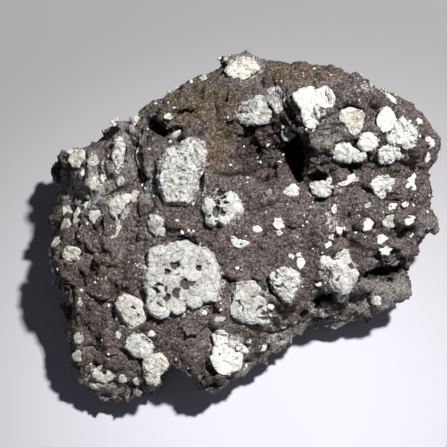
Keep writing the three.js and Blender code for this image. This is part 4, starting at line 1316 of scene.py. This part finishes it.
@dataclass
class SmallCrystals:
    """Crystals too small for a solid of their own, set in the groundmass as one joined mesh.

    Each has `rings` rings of points from its middle to its edge, and `around` points on a ring.
    """

    rings: int = 7
    around: int = 22
    seed: int = 5
    # How many waves each has round its edge, and how deep they may be, as a share of its size.
    waves: tuple[tuple[int, float], ...] = ((2, 0.10), (3, 0.13), (5, 0.11), (7, 0.07), (10, 0.05))

    def template(self) -> tuple[Array, Array, list[tuple[int, ...]]]:
        """Lay out one crystal as a closed lens on a polar grid.

        The grid runs from the top's middle out to the edge and back to the middle of the underside.

        Returns:
            The distance from the middle of each point, 0 to 1, signed by top or underside as 1 or -1;
            its angle; and the faces.
        """
        rings, around = self.rings, self.around
        share = np.concatenate([np.arange(1, rings + 1) / rings, np.arange(rings - 1, 0, -1) / rings])
        side = np.concatenate([np.ones(rings), -np.ones(rings - 1)])
        angle = np.arange(around) * 2 * math.pi / around
        radius = np.repeat(share, around)
        sides = np.repeat(side, around)
        angles = np.tile(angle, len(share))
        radius = np.concatenate([[0], radius, [0]])
        sides = np.concatenate([[1], sides, [-1]])
        angles = np.concatenate([[0], angles, [0]])
        faces: list[tuple[int, ...]] = []
        last = len(radius) - 1
        for k in range(around):
            after = (k + 1) % around
            faces.append((0, 1 + k, 1 + after))
            for ring in range(len(share) - 1):
                a, b = 1 + ring * around, 1 + (ring + 1) * around
                faces.append((a + k, b + k, b + after, a + after))
            tail = 1 + (len(share) - 1) * around
            faces.append((tail + k, last, tail + after))
        return np.stack([radius, sides], axis=1), angles, faces

    def lens(
        self, places: Array, outs: Array, sizes: Array, turns: Array
    ) -> tuple[Array, list[tuple[int, ...]]]:
        """Shape many crystals at once.

        A crystal's edge is an ellipse drawn to a polygon of five to eight sides and made ragged by
        waves of random phase; its top is flat and leans a little, its underside is a bowl.

        Args:
            places: their middles in millimetres, shape (n, 3).
            outs: the direction out of the rock at each, shape (n, 3).
            sizes: half width, half height and rise of each, shape (n, 3).
            turns: turn of each in degrees, shape (n,).

        Returns:
            All points, shape (n * points, 3), and all faces.
        """
        spin = np.random.default_rng(self.seed + len(places))
        form, angles, faces = self.template()
        radius, top = form[:, 0], form[:, 1] > 0
        count = len(places)
        part = 2 * math.pi / spin.integers(5, 9, (count, 1))
        flat = np.mod(angles[None, :] + spin.uniform(0, 6, (count, 1)), part) - part / 2
        edge = np.cos(part / 2) / np.cos(flat) * 1.06
        for waves, size in self.waves:
            phase = spin.uniform(0, 2 * math.pi, (count, 1))
            edge = edge + size * spin.uniform(0.2, 1, (count, 1)) * np.cos(waves * angles[None, :] + phase)
        a = radius * edge * np.cos(angles) * sizes[:, :1]
        b = radius * edge * np.sin(angles) * sizes[:, 1:2]
        crown = np.where(top, 1 - radius**12, 0.0)
        bowl = np.where(top, 0.0, -2.2 * (1 - radius**2))
        lean = spin.uniform(-0.5, 0.5, (2, count, 1))
        tilt = radius * (lean[0] * np.cos(angles) + lean[1] * np.sin(angles)) * np.where(top, 1, 0.3)
        rumple = spin.normal(0, 0.16, (count, len(radius))) * np.where(radius < 0.95, 1, 0)
        c = sizes[:, 2:] * (crown + bowl + tilt + rumple - 0.3)
        radians = np.radians(turns)[:, None]
        x = a * np.cos(radians) - b * np.sin(radians)
        y = a * np.sin(radians) + b * np.cos(radians)
        across = np.cross(outs, np.cross(np.broadcast_to([1.0, 0.02, 0.03], outs.shape), outs))
        across /= np.linalg.norm(across, axis=1, keepdims=True)
        up = np.cross(outs, across)
        points = places[:, None] + x[..., None] * across[:, None]
        points = points + y[..., None] * up[:, None] + c[..., None] * outs[:, None]
        step = len(radius)
        joined = [tuple(i + k * step for i in face) for k in range(count) for face in faces]
        return points.reshape(-1, 3), joined

    def seat(self, tree: BVHTree, spots: Sequence[Sequence[float]]) -> tuple[Array, Array]:
        """Drop points of the broad face onto the rock.

        Args:
            tree: the rock's surface, in metres.
            spots: u, v and more for each crystal.

        Returns:
            The place and the smoothed direction out of the rock of each.
        """
        places, outs = [], []
        down = Vector(-FACE.axes()[2])
        for u, v, wide, high, *_ in spots:
            hits = []
            for du, dv in ((0, 0), (wide, 0), (-wide, 0), (0, high), (0, -high)):
                start = FACE.outward(np.array([u + 0.7 * du, v + 0.7 * dv, 80.0])) * MM
                where, normal, _, _ = tree.ray_cast(Vector(start), down)
                if where is None:
                    beside = FACE.outward(np.array([u, v, 0.0])) * MM
                    where, normal, _, _ = tree.find_nearest(Vector(beside))
                hits.append((FACE.inward(np.array(where) / MM), np.array(normal)))
            level = sorted(float(where[2]) for where, _ in hits)[2]
            out = np.sum([normal for _, normal in hits], axis=0) + 1.5 * FACE.axes()[2]
            places.append(FACE.outward(np.array([hits[0][0][0], hits[0][0][1], level])))
            outs.append(out / np.linalg.norm(out))
        return np.array(places), np.array(outs)

    def build(
        self, name: str, spots: Sequence[Sequence[float]], tree: BVHTree, material: Material
    ) -> Piece:
        """Make the small crystals of one colour.

        Args:
            name: the piece's name.
            spots: u, v, half width, half height and turn of each.
            tree: the rock's surface.
            material: their finish.

        Returns:
            The piece.
        """
        places, outs = self.seat(tree, spots)
        table = np.array(spots, float)
        rise = 0.14 * np.minimum(table[:, 2], table[:, 3]) + 0.24
        sizes = np.column_stack([1.1 * table[:, 2], 1.1 * table[:, 3], rise])
        points, faces = self.lens(places, outs, sizes, table[:, 4])
        return joined_piece(name, points, faces, material)


def joined_piece(
    name: str, points: Array, faces: list[tuple[int, ...]], material: Material
) -> Piece:
    """Make one mesh of many closed shapes.

    Args:
        name: the piece's name.
        points: all points in millimetres.
        faces: all faces.
        material: the finish.

    Returns:
        The piece.
    """
    mesh = bpy.data.meshes.new(name)
    mesh.from_pydata((inside_cad_box(points) * MM).tolist(), [], faces)
    mesh.update()
    write_attribute(mesh, "crease", 0.8 * (1 - ease(0.0, 0.12, np.abs(rough_noise(points, 2.0, 3, 7)))))
    write_attribute(mesh, "pit", np.zeros(len(points)))
    return set_on_body(name, mesh, material)


@dataclass
class Specks:
    """Grains of leucite under a millimetre, strewn over the whole rock."""

    front: int = 700
    elsewhere: int = 640
    least: float = 0.13
    growth: float = 0.5
    seed: int = 31

    def build(self, rock: Piece, material: Material) -> Piece:
        """Strew the grains.

        Each sits on a point of the rock's mesh picked at random; small ones are the commonest.

        Args:
            rock: the finished groundmass.
            material: their finish.

        Returns:
            The piece.
        """
        spin = np.random.default_rng(self.seed)
        points, normals = read_mesh(rock.data)
        facing = normals @ FACE.axes()[2]
        patchy = rough_noise(points, 12, 2, 95)
        bright = np.flatnonzero((facing > 0.35) & (patchy > -0.45))
        rest = np.flatnonzero((facing < 0.35) & (points[:, 2] > 1.5) & (normals[:, 2] > -0.6))
        picked = np.concatenate([spin.choice(bright, self.front), spin.choice(rest, self.elsewhere)])
        size = self.least + self.growth * spin.random(len(picked)) ** 4
        grown = SmallCrystals(rings=2, around=7, seed=self.seed)
        sizes = np.column_stack([size * spin.uniform(0.8, 1.5, len(size)), size, 0.45 * size])
        turns = spin.uniform(0, 180, len(size))
        lens, faces = grown.lens(points[picked], normals[picked], sizes, turns)
        return joined_piece("leucite_specks", lens, faces, material)


@dataclass
class FlankCrystals:
    """Small crystals round the sides, the back and the underside, as common there as on the broad face."""

    count: int = 95
    beneath: int = 30
    gap: float = 4.2
    gap_beneath: float = 9.0
    least: float = 0.8
    growth: float = 1.5
    larger_beneath: float = 1.7
    spread: float = 0.9
    tries: int = 4000
    seed: int = 57

    def scattered(self, points: Array, order: Array, count: int, gap: float) -> list[int]:
        """Pick points in turn, each farther than a gap from those picked before.

        Args:
            points: places in millimetres, shape (n, 3).
            order: numbers of the points in the order to try them.
            count: how many to pick at most.
            gap: the least distance between two of them, in millimetres.

        Returns:
            The numbers of the points picked.
        """
        apart: list[int] = []
        for pick in order[: self.tries]:
            if len(apart) == count:
                break
            if not apart or np.min(np.linalg.norm(points[apart] - points[pick], axis=1)) > gap:
                apart.append(int(pick))
        return apart

    def build(self, rock: Piece, material: Material) -> Piece:
        """Set the crystals.

        Args:
            rock: the finished groundmass.
            material: their finish.

        Returns:
            The piece.
        """
        spin = np.random.default_rng(self.seed)
        points, normals = read_mesh(rock.data)
        facing = normals @ FACE.axes()[2]
        sides = np.flatnonzero((facing < -0.15) & (points[:, 2] > 3.0) & (normals[:, 2] > -0.7))
        base = np.flatnonzero((points[:, 2] < 0.1) & (normals[:, 2] < -0.7))
        apart = self.scattered(points, spin.permutation(sides), self.count, self.gap)
        round_sides = len(apart)
        apart += self.scattered(points, spin.permutation(base), self.beneath, self.gap_beneath)
        away = points[apart] - points.mean(axis=0)
        outs = normals[apart] + self.spread * away / np.linalg.norm(away, axis=1)[:, None]
        outs /= np.linalg.norm(outs, axis=1)[:, None]
        outs[round_sides:] = (0, 0, -1)
        size = self.least + self.growth * spin.random(len(apart)) ** 1.6
        size[round_sides:] *= self.larger_beneath
        sizes = np.column_stack([size * spin.uniform(0.85, 1.3, len(size)), size, 0.14 * size + 0.26])
        grown = SmallCrystals(seed=self.seed)
        turns = spin.uniform(0, 180, len(size))
        lens, faces = grown.lens(points[apart], outs, sizes, turns)
        return joined_piece("leucite_small_flank", lens, faces, material)


# Stage, lights and camera.


@dataclass(frozen=True)
class Lamp:
    """A square light: the way to it from the stone, its distance and side in metres, and its watts."""

    name: str
    way: Triple
    away: float
    size: float
    power: float
    colour: Colour

    def hang(self) -> None:
        """Hang the light so that it faces the stone's middle."""
        lamp = bpy.data.lights.new(self.name, "AREA")
        lamp.energy, lamp.size, lamp.color = self.power, self.size, self.colour
        holder = new_object(self.name, lamp)
        direction = Vector(self.way).normalized()
        holder.location = Vector((0, 0, 0.03)) + direction * self.away
        holder.rotation_euler = direction.to_track_quat("Z", "Y").to_euler()


LAMPS = (
    Lamp("key", (0.40, 0.12, 1.0), 1.1, 0.07, 17.5, (1.0, 0.985, 0.965)),
    Lamp("fill", (-0.2, -1.0, 0.9), 1.4, 0.9, 0.5, (0.85, 0.9, 1.0)),
)


@dataclass
class Studio:
    """A pale floor with a painted pool of light, a key light from the upper right, a soft fill, a dim room
    and the camera.

    The floor's sizes are in metres, the camera's in degrees and millimetres.
    """

    floor_half: float = 3.0
    painted_light_middle: Triple = (0.009, -0.048, 0.0)
    painted_light_span: Pair = (0.015, 0.15)
    paper_in_painted_light: Colour = (0.70, 0.70, 0.765)
    paper_outside_painted_light: Colour = (0.33, 0.328, 0.335)
    room: Colour = (0.70, 0.78, 1.0)
    room_strength: float = 0.05
    elevation: float = 65.0
    distance: float = 700.0
    lens: float = 187.3
    sensor: float = 36.0
    aim: Pair = (-6.0, 0.9)

    def floor(self) -> None:
        """Make the floor, a plain wide sheet that the stone rests on, with a painted pool of light: palest
        in front of it and darker farther off.
        """
        half = self.floor_half
        mesh = bpy.data.meshes.new("floor")
        corners = [(-half, -half, 0), (half, -half, 0), (half, half, 0), (-half, half, 0)]
        mesh.from_pydata(corners, [], [(0, 1, 2, 3)])
        board = NodeBoard("paper_with_painted_light_pool")
        # Painted light: the paper is palest round one spot in front of the stone and grows darker away from
        # it.
        away = board.add("ShaderNodeVectorMath", operation="DISTANCE")
        board.feed(away.inputs[0], board.place)
        board.feed(away.inputs[1], self.painted_light_middle)
        painted_falloff = board.ramp(away.outputs["Value"], *self.painted_light_span)
        colour = board.mix(painted_falloff, self.paper_in_painted_light, self.paper_outside_painted_light)
        mesh.materials.append(board.finish(colour, 0.9, board.bump(board.noise(1.0, 3), 0.02, 0.2), 0.2))
        new_object("floor", mesh)

    def world(self) -> None:
        """Light the room dimly and evenly, so that the shadows aren't black."""
        world = bpy.data.worlds.new("soft_room")
        world.use_nodes = True
        background = world.node_tree.nodes["Background"]
        background.inputs["Color"].default_value = (*self.room, 1.0)
        background.inputs["Strength"].default_value = self.room_strength
        bpy.context.scene.world = world

    def camera(self) -> None:
        """Stand the camera at the photo's angle."""
        camera = bpy.data.cameras.new("camera")
        camera.lens, camera.sensor_width, camera.sensor_fit = self.lens, self.sensor, "HORIZONTAL"
        camera.clip_start, camera.clip_end = 0.05, 10.0
        holder = new_object("camera", camera)
        target = FACE.outward(np.array([*self.aim, 0.0])) * MM
        up = math.radians(self.elevation)
        back = Vector((0, -math.cos(up), math.sin(up)))
        holder.location = Vector(target) + back * self.distance * MM
        holder.rotation_euler = back.to_track_quat("Z", "Y").to_euler()
        bpy.context.scene.camera = holder

    def build(self) -> None:
        """Set up the floor, the lights, the world and the camera."""
        self.floor()
        for lamp in LAMPS:
            lamp.hang()
        self.world()
        self.camera()
        bpy.context.scene.view_settings.view_transform = "Standard"


def main() -> None:
    """Build the stone and its setting, piece by piece."""
    logging.basicConfig(level=logging.INFO, format="%(name)s: %(message)s")
    rock = Groundmass().build()
    finishes = {finish.name: finish.material() for finish in FINISHES}
    points, _ = read_mesh(rock.data)
    heights = RockHeights(points)
    pieces = [rock]
    for crystal in CRYSTALS:
        pieces.append(crystal.build(finishes[crystal.finish.name], heights))
    tree = surface_tree(rock.data)
    small = SmallCrystals()
    for name, spots, finish in (
        ("leucite_small_white", SMALL_WHITE, BRIGHT),
        ("leucite_small_cream", SMALL_CREAM, CREAM),
        ("leucite_small_cloudy", SMALL_CLOUDY, CLOUDY),
    ):
        pieces.append(small.build(name, spots, tree, finishes[finish.name]))
    for maker, finish in ((Specks(), BRIGHT), (FlankCrystals(), WHITE)):
        pieces.append(maker.build(rock, finishes[finish.name]))
    for piece in pieces:
        log.info("%s: %d faces", piece.name, len(piece.data.polygons))
    Studio().build()


if __name__ == "__main__":
    main()
